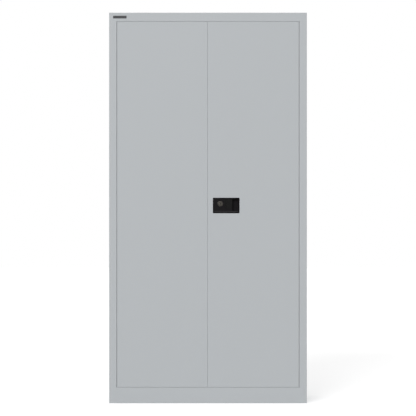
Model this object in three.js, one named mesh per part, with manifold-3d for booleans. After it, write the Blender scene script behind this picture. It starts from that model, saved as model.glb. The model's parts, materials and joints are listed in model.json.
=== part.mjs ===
// Double door steel stationery cupboard. A folded sheet carcass holds three shelves on clips, and two flush
// doors on concealed hinges. The right door has a flush pull handle, whose lock slides two rods.
// Millimetres, +Z up. The front faces -Y, and the origin is the middle of the footprint on the floor.
import * as THREE from 'three';
import { mergeVertices } from 'three/addons/utils/BufferGeometryUtils.js';
import Module from 'manifold-3d';

const wasm = await Module();
wasm.setup();

// Overall sizes
const WIDTH = 914;
const HEIGHT = 1806;
const DEPTH = 400;

// Sheet steel, its folds, and the gaps between pieces
const SHEET = 0.8;
const BACK_SHEET = 0.6;
const FOLD_RADIUS = 1.6;
const FOLD_STEPS = 2;
const SEAM = 0.3;
const OVERRUN = 5;
const SMALL_FACETS = 16;
const LARGE_FACETS = 24;
const CORNER_STEPS = 4;

// Carcass
const STILE = 35;
const STILE_RETURN = 30;
const STILE_TAIL = 20;
const STILE_NOTCH = 2;
const TOP_RAIL = 41;
const PLINTH = 74;
const PLINTH_LIP = 20;
const STOP_LIP = 12;
const STOP_CLEAR = 2;
const BACK_FLANGE = 15;
const PANEL_FLANGE = 15;

// Doors
const DOOR_GAP = 1.2;
const HINGE_GAP = 1.5;
const DOOR_THICK = 19;
const DOOR_LIP = 12;
const MEETING_SHIFT = 2;
const STIFFENER_CROWN = 30;
const STIFFENER_DEPTH = 13;
const STIFFENER_FLANGE = 12;
const STIFFENER_END_GAP = 25;
const STRIP_WIDTH = 17;
const STRIP_NOSE = 6;
const STRIP_INSET = 1;
const BUFFER_RADIUS = 5;
const BUFFER_FROM_MEETING = 100;

// Concealed hinges: an arm on the stile carries the pin, and a clevis in the door turns round it
const HINGES_PER_DOOR = 3;
const HINGE_FROM_END = 200;
const PIVOT_INSET = 13;
const PIVOT_SETBACK = 6.5;
const PIN_RADIUS = 2.2;
const PIN_CLEARANCE = 0.25;
const PIN_OVERHANG = 1;
const EYE_RADIUS = 3.8;
const ARM_THICK = 4;
const ARM_OUTBOARD = 1.2;
const ARM_INBOARD = 3;
const ARM_REACH = 22;
const ARM_CORNER_CLEAR = 0.4;
const FOOT_THICK = 1.5;
const FOOT_HEIGHT = 30;
const FOOT_DEPTH = 8;
const EAR_THICK = 2;
const EAR_RADIUS = 4.8;
const EAR_CLEARANCE = 0.4;
const WEB_THICK = 1.2;
const WEB_HEIGHT = 34;
const WEB_INBOARD = 20;
const WEB_OUTBOARD = 9;
const NOTCH_CLEARANCE = 2.5;
const NOTCH_SETBACK = 1;
const SWING_CLEAR = 1.5;

// Shelves, and the slotted uprights and clips that carry them
const SHELF_COUNT = 3;
const FIRST_SHELF_SLOT_COUNT = 6;
const SHELF_SLOT_COUNT = 8;
const SHELF_FRONT_GAP = 49;
const SHELF_BACK_GAP = 9;
const SHELF_EDGE = 25;
const SHELF_LIP = 12;
const SHELF_SIDE_GAP = 1.5;
const UPRIGHT_SHEET = 1;
const UPRIGHT_DEPTH = 15;
const UPRIGHT_FACE = 25;
const UPRIGHT_FLANGE = 12;
const UPRIGHT_FROM_FRONT = 84;
const UPRIGHT_FROM_BACK = 46;
const UPRIGHT_END_GAP = 2;
const SLOT_PITCH = 50;
const SLOT_END_GAP = 100;
const SLOT_WIDTH = 12;
const SLOT_HEIGHT = 4;
const CLIP_SHEET = 2;
const CLIP_SIDE_GAP = 1;
const CLIP_LEDGE = 15;
const CLIP_HOOK = 5;
const CLIP_HEEL = 7;

// Flush handle: a moulding with a raised border, a lock field, a grip bar and a finger pocket behind it
const HANDLE_WIDTH = 123.2;
const HANDLE_HEIGHT = 71.8;
const HANDLE_MIDDLE = 914.5;
const HANDLE_FROM_EDGE = 23.95;
const HANDLE_CORNER = 3;
const BEZEL_PROUD = 2;
const BORDER = 5.6;
const FIELD_DEEP = 1.5;
const BODY_INSET = 4;
const BODY_CLEARANCE = 0.5;
const BODY_WALL = 2.5;
const LOCK_BLOCK_DEEP = 6;
const LOCK_FIELD_THICK = 3;
const POCKET_DEEP = 21.5;
const UNDERCUT = 34;
const GRIP_FROM_LEFT = 52.3;
const GRIP_WIDTH = 37.8;
const GRIP_HEIGHT = 42.5;
const GRIP_THICK = 4;
const GRIP_PROUD = 0.8;
const MOUTH_WIDTH = 26.3;
const MOUTH_HEIGHT = 55;
const LUG_WIDTH = 10;
const LUG_PROUD = 3;
const LUG_INSET = 12;
const CLAMP_THICK = 1.5;
const CLAMP_BORDER = 12;

// Bare badge plate on the top rail
const BADGE_WIDTH = 62;
const BADGE_HEIGHT = 12.5;
const BADGE_THICK = 0.5;
const BADGE_FROM_SIDE = 18.4;
const BADGE_CORNER = 1.5;

// Lock barrel, cam, rods, rod guides and strike plates
const LOCK_FROM_LEFT = 34.5;
const LOCK_RISE = 7.6;
const BARREL_RADIUS = 12;
const BARREL_CHAMFER = 1;
const BARREL_PROUD = 0.9;
const BARREL_LENGTH = 9.4;
const KEYWAY_WIDTH = 1.8;
const KEYWAY_HEIGHT = 9;
const KEYWAY_DEEP = 3;
const BOSS_WALL = 3;
const CAM_RADIUS = 13;
const CAM_THICK = 2;
const CRANK_RADIUS = 9;
const CRANK_START = Math.PI / 4;
const CRANK_PIN_RADIUS = 2;
const CRANK_PIN_OVERHANG = 0.6;
const CRANK_CLEARANCE = 0.5;
const ROD_THICK = 3;
const ROD_WALL = 2.5;
const ROD_CAM_GAP = 0.6;
const ROD_TIP_PROUD = 0.5;
const ROD_TIP_CHAMFER = 2;
const ROD_HOLE_CLEARANCE = 1;
const GUIDE_WALL = 5;
const GUIDE_HEIGHT = 14;
const GUIDE_BACK_WALL = 2.5;
const GUIDE_CLEARANCE = 0.5;
const GUIDE_FROM_LOCK = 150;
const GUIDE_FROM_END = 64;
const STRIKE_THICK = 2;
const STRIKE_LENGTH = 50;
const STRIKE_DEPTH = 14;

// Places in the carcass, worked out from the sizes above
const BACK = (DEPTH + BEZEL_PROUD) / 2;
const FRONT = BEZEL_PROUD - BACK;
const OPENING_HALF = WIDTH / 2 - STILE;
const RAIL_BOTTOM = HEIGHT - TOP_RAIL;
const RAIL_HALF = OPENING_HALF + STILE_NOTCH;
const STILE_BACK = FRONT + STILE_RETURN;
const INNER_HALF = WIDTH / 2 - SHEET - SEAM;
const BACK_PANEL_REAR = BACK - SHEET - SEAM;
const PANEL_REAR = BACK_PANEL_REAR - BACK_SHEET - SEAM;
const FLOOR_TOP = PLINTH + STOP_LIP;

// Places in the doors and round their hinges
const DOOR_BACK = FRONT + DOOR_THICK;
const DOOR_BOTTOM = PLINTH + DOOR_GAP;
const DOOR_TOP = RAIL_BOTTOM - DOOR_GAP;
const STIFFENER_ENDS = [DOOR_BOTTOM + STIFFENER_END_GAP, DOOR_TOP - STIFFENER_END_GAP];
const SKIN_SEAT = SHEET + SEAM;
const HINGE_EDGE = OPENING_HALF - HINGE_GAP;
const LEFT_FREE_EDGE = -MEETING_SHIFT - DOOR_GAP / 2;
const RIGHT_FREE_EDGE = -MEETING_SHIFT + DOOR_GAP / 2;
const PIVOT_X = HINGE_EDGE - PIVOT_INSET;
const PIVOT_Y = FRONT + PIVOT_SETBACK;
const STOP_FACE = DOOR_BACK + STOP_CLEAR;
const BACK_CORNER_SWING = Math.hypot(PIVOT_INSET, DOOR_BACK - PIVOT_Y);
const FRONT_CORNER_SWING = Math.hypot(PIVOT_INSET, PIVOT_SETBACK);
const STOP_HALF = PIVOT_X - Math.sqrt(BACK_CORNER_SWING ** 2 - (STOP_FACE - PIVOT_Y) ** 2) - SWING_CLEAR;
const HINGE_STEP = (DOOR_TOP - DOOR_BOTTOM - 2 * HINGE_FROM_END) / (HINGES_PER_DOOR - 1);

// Places in the handle, from the middle of its border on the door's face
const BODY_HALF_WIDTH = HANDLE_WIDTH / 2 - BODY_INSET;
const BODY_HALF_HEIGHT = HANDLE_HEIGHT / 2 - BODY_INSET;
const FIELD_FACE = FIELD_DEEP - BEZEL_PROUD;
const CAVITY_HALF_HEIGHT = BODY_HALF_HEIGHT - BODY_WALL;
const GRIP_LEFT = GRIP_FROM_LEFT - HANDLE_WIDTH / 2;
const MOUTH_LEFT = GRIP_LEFT + GRIP_WIDTH;
const MOUTH_RIGHT = MOUTH_LEFT + MOUTH_WIDTH;
const CAVITY_LEFT = MOUTH_LEFT - UNDERCUT;
const LOCK_X = LOCK_FROM_LEFT - HANDLE_WIDTH / 2;
const HANDLE_PLACE = [RIGHT_FREE_EDGE + HANDLE_FROM_EDGE + HANDLE_WIDTH / 2, FRONT, HANDLE_MIDDLE];
const LOCK_PLACE = [HANDLE_PLACE[0] + LOCK_X, FRONT, HANDLE_MIDDLE + LOCK_RISE];
const CLAMP_EDGE = HANDLE_PLACE[0] + BODY_HALF_WIDTH + CLAMP_BORDER;
const STIFFENER_X = (CLAMP_EDGE + HINGE_EDGE) / 2;

// Places along and round the lock's axis, behind the door's face
const BARREL_FRONT = FIELD_FACE - BARREL_PROUD;
const BARREL_BACK = BARREL_FRONT + BARREL_LENGTH;
const CAM_FRONT = BARREL_BACK + SEAM;
const ROD_FRONT = CAM_FRONT + CAM_THICK + ROD_CAM_GAP;
const ROD_BACK = ROD_FRONT + ROD_THICK;
const CRANK_OFFSET = CRANK_RADIUS * Math.cos(CRANK_START);
const CRANK_PLAY = CRANK_PIN_RADIUS + CRANK_CLEARANCE;
const ROD_NEAR = CRANK_OFFSET - CRANK_PLAY - ROD_WALL;
const ROD_FAR = CRANK_RADIUS + CRANK_PLAY + ROD_WALL;
const UPPER_ROD = { turn: -1, tip: DOOR_TOP + ROD_TIP_PROUD - LOCK_PLACE[2] };
const LOWER_ROD = { turn: 1, tip: DOOR_BOTTOM - ROD_TIP_PROUD - LOCK_PLACE[2] };

// Finishes
const PAINT = { color: 0xb7bbbe, roughness: 0.55, metalness: 0 };
const BLACK_PLASTIC = { color: 0x211f21, roughness: 0.5, metalness: 0 };
const NICKEL = { color: 0x9a9890, roughness: 0.3, metalness: 1 };
const ZINC = { color: 0xb4b5b0, roughness: 0.4, metalness: 1 };
const NYLON = { color: 0xdcdad2, roughness: 0.5, metalness: 0 };
const RUBBER = { color: 0x2a2a2b, roughness: 0.85, metalness: 0 };

const SIDES = [{ side: 'left', sign: -1 }, { side: 'right', sign: 1 }];

// An outline is drawn in (y, z) for a run along x, in (z, x) for one along y, in (x, y) for one along z.
const X = new THREE.Vector3(1, 0, 0);
const Y = new THREE.Vector3(0, 1, 0);
const Z = new THREE.Vector3(0, 0, 1);
const PLANES = { x: [Y, Z, X], y: [Z, X, Y], z: [X, Y, Z] };

function run(axis, outline, from, to) {
  const shape = new THREE.Shape(outline);
  const geometry = new THREE.ExtrudeGeometry(shape, { depth: to - from, bevelEnabled: false });
  geometry.translate(0, 0, from);
  geometry.applyMatrix4(new THREE.Matrix4().makeBasis(...PLANES[axis]));
  return geometry;
}

function points(pairs) {
  return pairs.map(([u, v]) => new THREE.Vector2(u, v));
}

// A block between pairs of places along x, y and z, in either order
function block(...spans) {
  const [x, y, z] = spans.map(([a, b]) => [Math.min(a, b), Math.max(a, b)]);
  return run('z', points([[x[0], y[0]], [x[1], y[0]], [x[1], y[1]], [x[0], y[1]]]), z[0], z[1]);
}

function circle(u, v, radius, facets) {
  return Array.from({ length: facets }, (_, step) => {
    const angle = 2 * Math.PI * step / facets;
    return new THREE.Vector2(u + radius * Math.cos(angle), v + radius * Math.sin(angle));
  });
}

// The radius of a faceted hole whose flats clear a round of the given radius
function holeRadius(radius, clearance, facets) {
  return (radius + clearance) / Math.cos(Math.PI / facets);
}

// The arc that rounds the corner between two straight stretches of an outline
function roundArc(before, corner, after, radius, steps = FOLD_STEPS) {
  const into = corner.clone().sub(before).normalize();
  const out = after.clone().sub(corner).normalize();
  const turn = Math.atan2(into.cross(out), into.dot(out));
  const start = corner.clone().addScaledVector(into, -radius * Math.tan(Math.abs(turn) / 2));
  const spoke = new THREE.Vector2(into.y, -into.x).multiplyScalar(Math.sign(turn) * radius);
  const centre = start.clone().sub(spoke);
  return Array.from({ length: steps + 1 }, (_, step) => (
    spoke.clone().rotateAround(new THREE.Vector2(), turn * step / steps).add(centre)
  ));
}

function roundedRectangle(halfU, halfV, radius) {
  const corners = points([[-halfU, -halfV], [halfU, -halfV], [halfU, halfV], [-halfU, halfV]]);
  return corners.flatMap((corner, index) => {
    const before = corners[(index + 3) % 4];
    return roundArc(before, corner, corners[(index + 1) % 4], radius, CORNER_STEPS);
  });
}

// A folded sheet's outline. The corners are on one face, with the sheet on their left (1) or right (-1).
function foldedSheet(corners, thickness, side) {
  const near = points(corners);
  const last = near.length - 1;
  const normals = near.slice(1).map((point, index) => {
    const along = point.clone().sub(near[index]).normalize();
    return new THREE.Vector2(-along.y, along.x).multiplyScalar(side);
  });
  const far = near.map((point, index) => {
    const before = normals[Math.max(index - 1, 0)];
    const after = normals[Math.min(index, last - 1)];
    return before.clone().add(after).multiplyScalar(thickness / (1 + before.dot(after))).add(point);
  });
  const nearFace = [near[0]];
  const farFace = [far[0]];
  for (let index = 1; index < last; index += 1) {
    const nearIsOuter = Math.sign(normals[index - 1].cross(normals[index])) === side;
    const nearRadius = nearIsOuter ? FOLD_RADIUS : FOLD_RADIUS - thickness;
    const farRadius = nearIsOuter ? FOLD_RADIUS - thickness : FOLD_RADIUS;
    nearFace.push(...roundArc(near[index - 1], near[index], near[index + 1], nearRadius));
    farFace.push(...roundArc(far[index - 1], far[index], far[index + 1], farRadius));
  }
  return [...nearFace, near[last], far[last], ...farFace.reverse()];
}

// Solids, for cuts and joins
function solid(geometry) {
  const bare = geometry.clone();
  bare.deleteAttribute('normal');
  bare.deleteAttribute('uv');
  const merged = mergeVertices(bare);
  return new wasm.Manifold(new wasm.Mesh({
    numProp: 3,
    vertProperties: merged.getAttribute('position').array,
    triVerts: new Uint32Array(merged.getIndex().array),
  }));
}

function geometryOf(body) {
  const mesh = body.getMesh();
  const geometry = new THREE.BufferGeometry();
  geometry.setAttribute('position', new THREE.BufferAttribute(mesh.vertProperties, 3));
  geometry.setIndex(new THREE.BufferAttribute(mesh.triVerts, 1));
  geometry.computeVertexNormals();
  return geometry;
}

function join(...geometries) {
  return geometryOf(geometries.map(solid).reduce((whole, next) => whole.add(next)));
}

function cut(geometry, ...cutters) {
  return geometryOf(cutters.map(solid).reduce((whole, next) => whole.subtract(next), solid(geometry)));
}

function mesh(name, geometry, finish, place = [0, 0, 0]) {
  const piece = new THREE.Mesh(geometry, new THREE.MeshStandardMaterial(finish));
  piece.name = name;
  piece.position.set(...place);
  return piece;
}

// Carcass

// Side panel and stile in one sheet: back flange, side, stile face, return and tail. The stile's folds stop
// short of the top rail and the plinth, whose faces meet the stile's face edge to edge.
function sidePanel(sign) {
  const corners = [
    [WIDTH / 2 - BACK_FLANGE, BACK],
    [WIDTH / 2, BACK],
    [WIDTH / 2, FRONT],
    [OPENING_HALF, FRONT],
    [OPENING_HALF, STILE_BACK],
    [OPENING_HALF + STILE_TAIL, STILE_BACK],
  ].map(([x, y]) => [sign * x, y]);
  const faceAcross = [sign * (OPENING_HALF - OVERRUN), sign * RAIL_HALF];
  const foldsAcross = [sign * (OPENING_HALF - OVERRUN), sign * (OPENING_HALF + STILE_TAIL + OVERRUN)];
  const atTop = [RAIL_BOTTOM - SEAM, HEIGHT + OVERRUN];
  const atBottom = [-OVERRUN, PLINTH + SEAM];
  const reliefs = [atTop, atBottom].flatMap((heights) => [
    block(faceAcross, [FRONT - OVERRUN, FRONT + OVERRUN], heights),
    block(foldsAcross, [FRONT + SKIN_SEAT, STILE_BACK + OVERRUN], heights),
  ]);
  return cut(run('z', foldedSheet(corners, SHEET, -sign), 0, HEIGHT), ...reliefs);
}

// The hole that one rod passes through, between two heights
function rodHole(rod, low, high) {
  const [near, far] = [ROD_NEAR - ROD_HOLE_CLEARANCE, ROD_FAR + ROD_HOLE_CLEARANCE];
  return block(
    [LOCK_PLACE[0] + rod.turn * near, LOCK_PLACE[0] + rod.turn * far],
    [FRONT + ROD_FRONT - ROD_HOLE_CLEARANCE, FRONT + ROD_BACK + ROD_HOLE_CLEARANCE],
    [low, high],
  );
}

// Top and top rail in one sheet: door stop, rail underside, rail face, top, rear flange and side flanges
function topPanel() {
  const alongDepth = [
    [STOP_FACE, RAIL_BOTTOM - STOP_LIP],
    [STOP_FACE, RAIL_BOTTOM],
    [FRONT, RAIL_BOTTOM],
    [FRONT, HEIGHT],
    [PANEL_REAR, HEIGHT],
    [PANEL_REAR, HEIGHT - PANEL_FLANGE],
  ];
  const alongWidth = [
    [HEIGHT - PANEL_FLANGE, -INNER_HALF],
    [HEIGHT, -INNER_HALF],
    [HEIGHT, INNER_HALF],
    [HEIGHT - PANEL_FLANGE, INNER_HALF],
  ];
  const stopEnds = SIDES.map(({ sign }) => block(
    [sign * STOP_HALF, sign * (RAIL_HALF + OVERRUN)],
    [STOP_FACE - OVERRUN, STOP_FACE + OVERRUN],
    [RAIL_BOTTOM - STOP_LIP - OVERRUN, RAIL_BOTTOM],
  ));
  return cut(
    join(
      run('x', foldedSheet(alongDepth, SHEET, -1), -RAIL_HALF, RAIL_HALF),
      run('y', foldedSheet(alongWidth, SHEET, 1), FRONT + FOLD_RADIUS, PANEL_REAR - FOLD_RADIUS),
    ),
    ...stopEnds,
    rodHole(UPPER_ROD, RAIL_BOTTOM - OVERRUN, RAIL_BOTTOM + OVERRUN),
  );
}

// Floor and plinth in one sheet: plinth lip, plinth face, ledge, door stop, floor and flanges
function basePanel() {
  const alongDepth = [
    [FRONT + PLINTH_LIP, 0],
    [FRONT, 0],
    [FRONT, PLINTH],
    [STOP_FACE, PLINTH],
    [STOP_FACE, FLOOR_TOP],
    [PANEL_REAR, FLOOR_TOP],
    [PANEL_REAR, FLOOR_TOP - PANEL_FLANGE],
  ];
  const alongWidth = [
    [FLOOR_TOP - PANEL_FLANGE, -INNER_HALF],
    [FLOOR_TOP, -INNER_HALF],
    [FLOOR_TOP, INNER_HALF],
    [FLOOR_TOP - PANEL_FLANGE, INNER_HALF],
  ];
  const stopEnds = SIDES.map(({ sign }) => block(
    [sign * STOP_HALF, sign * (RAIL_HALF + OVERRUN)],
    [FRONT - OVERRUN, STILE_BACK + SEAM],
    [PLINTH, FLOOR_TOP + OVERRUN],
  ));
  return cut(
    join(
      run('x', foldedSheet(alongDepth, SHEET, -1), -RAIL_HALF, RAIL_HALF),
      run('y', foldedSheet(alongWidth, SHEET, 1), STILE_BACK + SEAM, PANEL_REAR - FOLD_RADIUS),
    ),
    ...stopEnds,
    rodHole(LOWER_ROD, PLINTH - OVERRUN, PLINTH + OVERRUN),
  );
}

function backPanel() {
  return block([-INNER_HALF, INNER_HALF], [BACK_PANEL_REAR - BACK_SHEET, BACK_PANEL_REAR], [0, HEIGHT]);
}

function strikePlate(rod, low) {
  const middleX = LOCK_PLACE[0] + rod.turn * (ROD_NEAR + ROD_FAR) / 2;
  const middleY = FRONT + (ROD_FRONT + ROD_BACK) / 2;
  return cut(
    block(
      [middleX - STRIKE_LENGTH / 2, middleX + STRIKE_LENGTH / 2],
      [middleY - STRIKE_DEPTH / 2, middleY + STRIKE_DEPTH / 2],
      [low, low + STRIKE_THICK],
    ),
    rodHole(rod, low - OVERRUN, low + STRIKE_THICK + OVERRUN),
  );
}

// Shelf fittings

const UPRIGHT_BOTTOM = FLOOR_TOP + UPRIGHT_END_GAP;
const UPRIGHT_TOP = HEIGHT - PANEL_FLANGE - UPRIGHT_END_GAP;
const UPRIGHT_INNER = INNER_HALF - UPRIGHT_DEPTH;
const UPRIGHT_ROWS = [
  { row: 'front', y: FRONT + UPRIGHT_FROM_FRONT },
  { row: 'rear', y: BACK - UPRIGHT_FROM_BACK },
];

function slotHeight(index) {
  return FLOOR_TOP + SLOT_END_GAP + index * SLOT_PITCH;
}

// Hat section with a row of slots for the clips, drawn about the middle of its face
function shelfUpright(sign) {
  const halfFace = UPRIGHT_FACE / 2;
  const flangeEnd = halfFace + UPRIGHT_FLANGE;
  const foot = UPRIGHT_DEPTH - UPRIGHT_SHEET;
  const corners = [
    [foot, -flangeEnd],
    [foot, -halfFace],
    [0, -halfFace],
    [0, halfFace],
    [foot, halfFace],
    [foot, flangeEnd],
  ].map(([x, y]) => [sign * x, y]);
  const slots = [];
  for (let index = 0; slotHeight(index) <= HEIGHT - SLOT_END_GAP; index += 1) {
    const middle = slotHeight(index);
    slots.push(block(
      [-OVERRUN, OVERRUN],
      [-SLOT_WIDTH / 2, SLOT_WIDTH / 2],
      [middle - SLOT_HEIGHT / 2, middle + SLOT_HEIGHT / 2],
    ));
  }
  return cut(run('z', foldedSheet(corners, UPRIGHT_SHEET, -sign), UPRIGHT_BOTTOM, UPRIGHT_TOP), ...slots);
}

// Clip about the middle of its slot, on the upright's face: hook, tongue through the slot, ledge and heel
const CLIP_BOTTOM = SEAM - SLOT_HEIGHT / 2;
const CLIP_TOP = CLIP_BOTTOM + CLIP_SHEET;

function shelfClip(sign) {
  const behind = UPRIGHT_SHEET + SEAM;
  const outline = points([
    [behind + CLIP_SHEET, CLIP_TOP],
    [-CLIP_LEDGE, CLIP_TOP],
    [-CLIP_LEDGE, CLIP_BOTTOM],
    [-SEAM - CLIP_SHEET, CLIP_BOTTOM],
    [-SEAM - CLIP_SHEET, CLIP_BOTTOM - CLIP_HEEL],
    [-SEAM, CLIP_BOTTOM - CLIP_HEEL],
    [-SEAM, CLIP_BOTTOM],
    [behind, CLIP_BOTTOM],
    [behind, CLIP_BOTTOM - CLIP_HOOK],
    [behind + CLIP_SHEET, CLIP_BOTTOM - CLIP_HOOK],
  ].map(([x, z]) => [z, sign * x]));
  const half = SLOT_WIDTH / 2 - CLIP_SIDE_GAP;
  return run('y', outline, -half, half);
}

// Shelf tray with its top face at height zero
function shelf() {
  const half = UPRIGHT_INNER - SHELF_SIDE_GAP;
  const front = FRONT + SHELF_FRONT_GAP;
  const rear = PANEL_REAR - SHELF_BACK_GAP;
  const alongDepth = [
    [front + SHELF_LIP, -SHELF_EDGE],
    [front, -SHELF_EDGE],
    [front, 0],
    [rear, 0],
    [rear, -SHELF_EDGE],
    [rear - SHELF_LIP, -SHELF_EDGE],
  ];
  const alongWidth = [[-SHELF_EDGE, -half], [0, -half], [0, half], [-SHELF_EDGE, half]];
  return join(
    run('x', foldedSheet(alongDepth, SHEET, -1), FOLD_RADIUS - half, half - FOLD_RADIUS),
    run('y', foldedSheet(alongWidth, SHEET, 1), front + FOLD_RADIUS, rear - FOLD_RADIUS),
  );
}

// Hinges, drawn about the pivot at the middle of the arm's thickness

// Arm plate with its eye and pin, and the foot that is welded to the stile's return
function hingeArm(sign) {
  const bendFront = FRONT_CORNER_SWING + ARM_CORNER_CLEAR;
  const footInner = PIVOT_INSET + HINGE_GAP - SEAM - FOOT_THICK;
  const plate = points([
    [-ARM_INBOARD, 0],
    [ARM_OUTBOARD, 0],
    [ARM_OUTBOARD, bendFront],
    [footInner + FOOT_THICK / 2, bendFront],
    [footInner + FOOT_THICK / 2, ARM_REACH],
    [-ARM_INBOARD, ARM_REACH],
  ].map(([x, y]) => [sign * x, y]));
  const pinHalf = ARM_THICK / 2 + EAR_CLEARANCE + EAR_THICK + PIN_OVERHANG;
  return join(
    run('z', plate, -ARM_THICK / 2, ARM_THICK / 2),
    run('z', circle(0, 0, EYE_RADIUS, SMALL_FACETS), -ARM_THICK / 2, ARM_THICK / 2),
    run('z', circle(0, 0, PIN_RADIUS, SMALL_FACETS), -pinHalf, pinHalf),
    block(
      [sign * footInner, sign * (footInner + FOOT_THICK)],
      [ARM_REACH - FOOT_DEPTH, ARM_REACH],
      [-FOOT_HEIGHT / 2, FOOT_HEIGHT / 2],
    ),
  );
}

// Clevis: a web on the door skin with an ear above and an ear below the arm
function hingeClevis(sign) {
  const webFront = SKIN_SEAT - PIVOT_SETBACK;
  const earLow = ARM_THICK / 2 + EAR_CLEARANCE;
  const ears = [-earLow - EAR_THICK, earLow].flatMap((low) => [
    block([-EAR_RADIUS, EAR_RADIUS], [webFront, 0], [low, low + EAR_THICK]),
    run('z', circle(0, 0, EAR_RADIUS, SMALL_FACETS), low, low + EAR_THICK),
  ]);
  const web = block(
    [-sign * WEB_INBOARD, sign * WEB_OUTBOARD],
    [webFront, webFront + WEB_THICK],
    [-WEB_HEIGHT / 2, WEB_HEIGHT / 2],
  );
  const boreRadius = holeRadius(PIN_RADIUS, PIN_CLEARANCE, SMALL_FACETS);
  const bore = run('z', circle(0, 0, boreRadius, SMALL_FACETS), -WEB_HEIGHT, WEB_HEIGHT);
  return cut(join(web, ...ears), bore);
}

function hingePlaces(sign) {
  return Array.from({ length: HINGES_PER_DOOR }, (_, index) => (
    [sign * PIVOT_X, PIVOT_Y, DOOR_BOTTOM + HINGE_FROM_END + index * HINGE_STEP]
  ));
}

// Doors

// Door tray with lips all round, notched in its hinge edge where the hinge arms swing
function doorTray(sign, freeEdge) {
  const [left, right] = [sign * HINGE_EDGE, freeEdge].sort((a, b) => a - b);
  const alongWidth = [
    [left + DOOR_LIP, DOOR_BACK],
    [left, DOOR_BACK],
    [left, FRONT],
    [right, FRONT],
    [right, DOOR_BACK],
    [right - DOOR_LIP, DOOR_BACK],
  ];
  const alongHeight = [
    [DOOR_BACK, DOOR_BOTTOM + DOOR_LIP],
    [DOOR_BACK, DOOR_BOTTOM],
    [FRONT, DOOR_BOTTOM],
    [FRONT, DOOR_TOP],
    [DOOR_BACK, DOOR_TOP],
    [DOOR_BACK, DOOR_TOP - DOOR_LIP],
  ];
  const notchHalf = ARM_THICK / 2 + NOTCH_CLEARANCE;
  const notches = hingePlaces(sign).map(([, , height]) => block(
    [sign * (HINGE_EDGE - DOOR_LIP - OVERRUN), sign * (HINGE_EDGE + OVERRUN)],
    [FRONT + NOTCH_SETBACK, DOOR_BACK + OVERRUN],
    [height - notchHalf, height + notchHalf],
  ));
  return cut(
    join(
      run('z', foldedSheet(alongWidth, SHEET, 1), DOOR_BOTTOM + FOLD_RADIUS, DOOR_TOP - FOLD_RADIUS),
      run('x', foldedSheet(alongHeight, SHEET, -1), left + FOLD_RADIUS, right - FOLD_RADIUS),
    ),
    ...notches,
  );
}

// The right door's tray, with the handle's cut-out and the holes that the rods pass through
function handleDoorTray() {
  const halfWidth = BODY_HALF_WIDTH + BODY_CLEARANCE;
  const halfHeight = BODY_HALF_HEIGHT + BODY_CLEARANCE;
  return cut(
    doorTray(1, RIGHT_FREE_EDGE),
    block(
      [HANDLE_PLACE[0] - halfWidth, HANDLE_PLACE[0] + halfWidth],
      [FRONT - OVERRUN, FRONT + OVERRUN],
      [HANDLE_MIDDLE - halfHeight, HANDLE_MIDDLE + halfHeight],
    ),
    rodHole(UPPER_ROD, DOOR_TOP - OVERRUN, DOOR_TOP + OVERRUN),
    rodHole(LOWER_ROD, DOOR_BOTTOM - OVERRUN, DOOR_BOTTOM + OVERRUN),
  );
}

// Hat section up the inside of a door's skin, midway between the handle's clamp plate and the hinge edge
function doorStiffener() {
  const half = STIFFENER_CROWN / 2;
  const corners = [
    [-half - STIFFENER_FLANGE, SKIN_SEAT],
    [-half, SKIN_SEAT],
    [-half, SKIN_SEAT + STIFFENER_DEPTH],
    [half, SKIN_SEAT + STIFFENER_DEPTH],
    [half, SKIN_SEAT],
    [half + STIFFENER_FLANGE, SKIN_SEAT],
  ];
  return run('z', foldedSheet(corners, SHEET, 1), ...STIFFENER_ENDS);
}

// Angle strip behind the left door's free edge
function closingStrip() {
  const seat = DOOR_BACK + SEAM;
  const edge = LEFT_FREE_EDGE - STRIP_INSET;
  const corners = [[edge - STRIP_WIDTH, seat], [edge, seat], [edge, seat + STRIP_NOSE]];
  return run('z', foldedSheet(corners, SHEET, 1), ...STIFFENER_ENDS);
}

function doorBuffer() {
  return run('y', circle(0, 0, BUFFER_RADIUS, SMALL_FACETS), DOOR_BACK + SEAM, STOP_FACE - SEAM);
}

// Handle and lock, drawn about their own middles on the door's face

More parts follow.
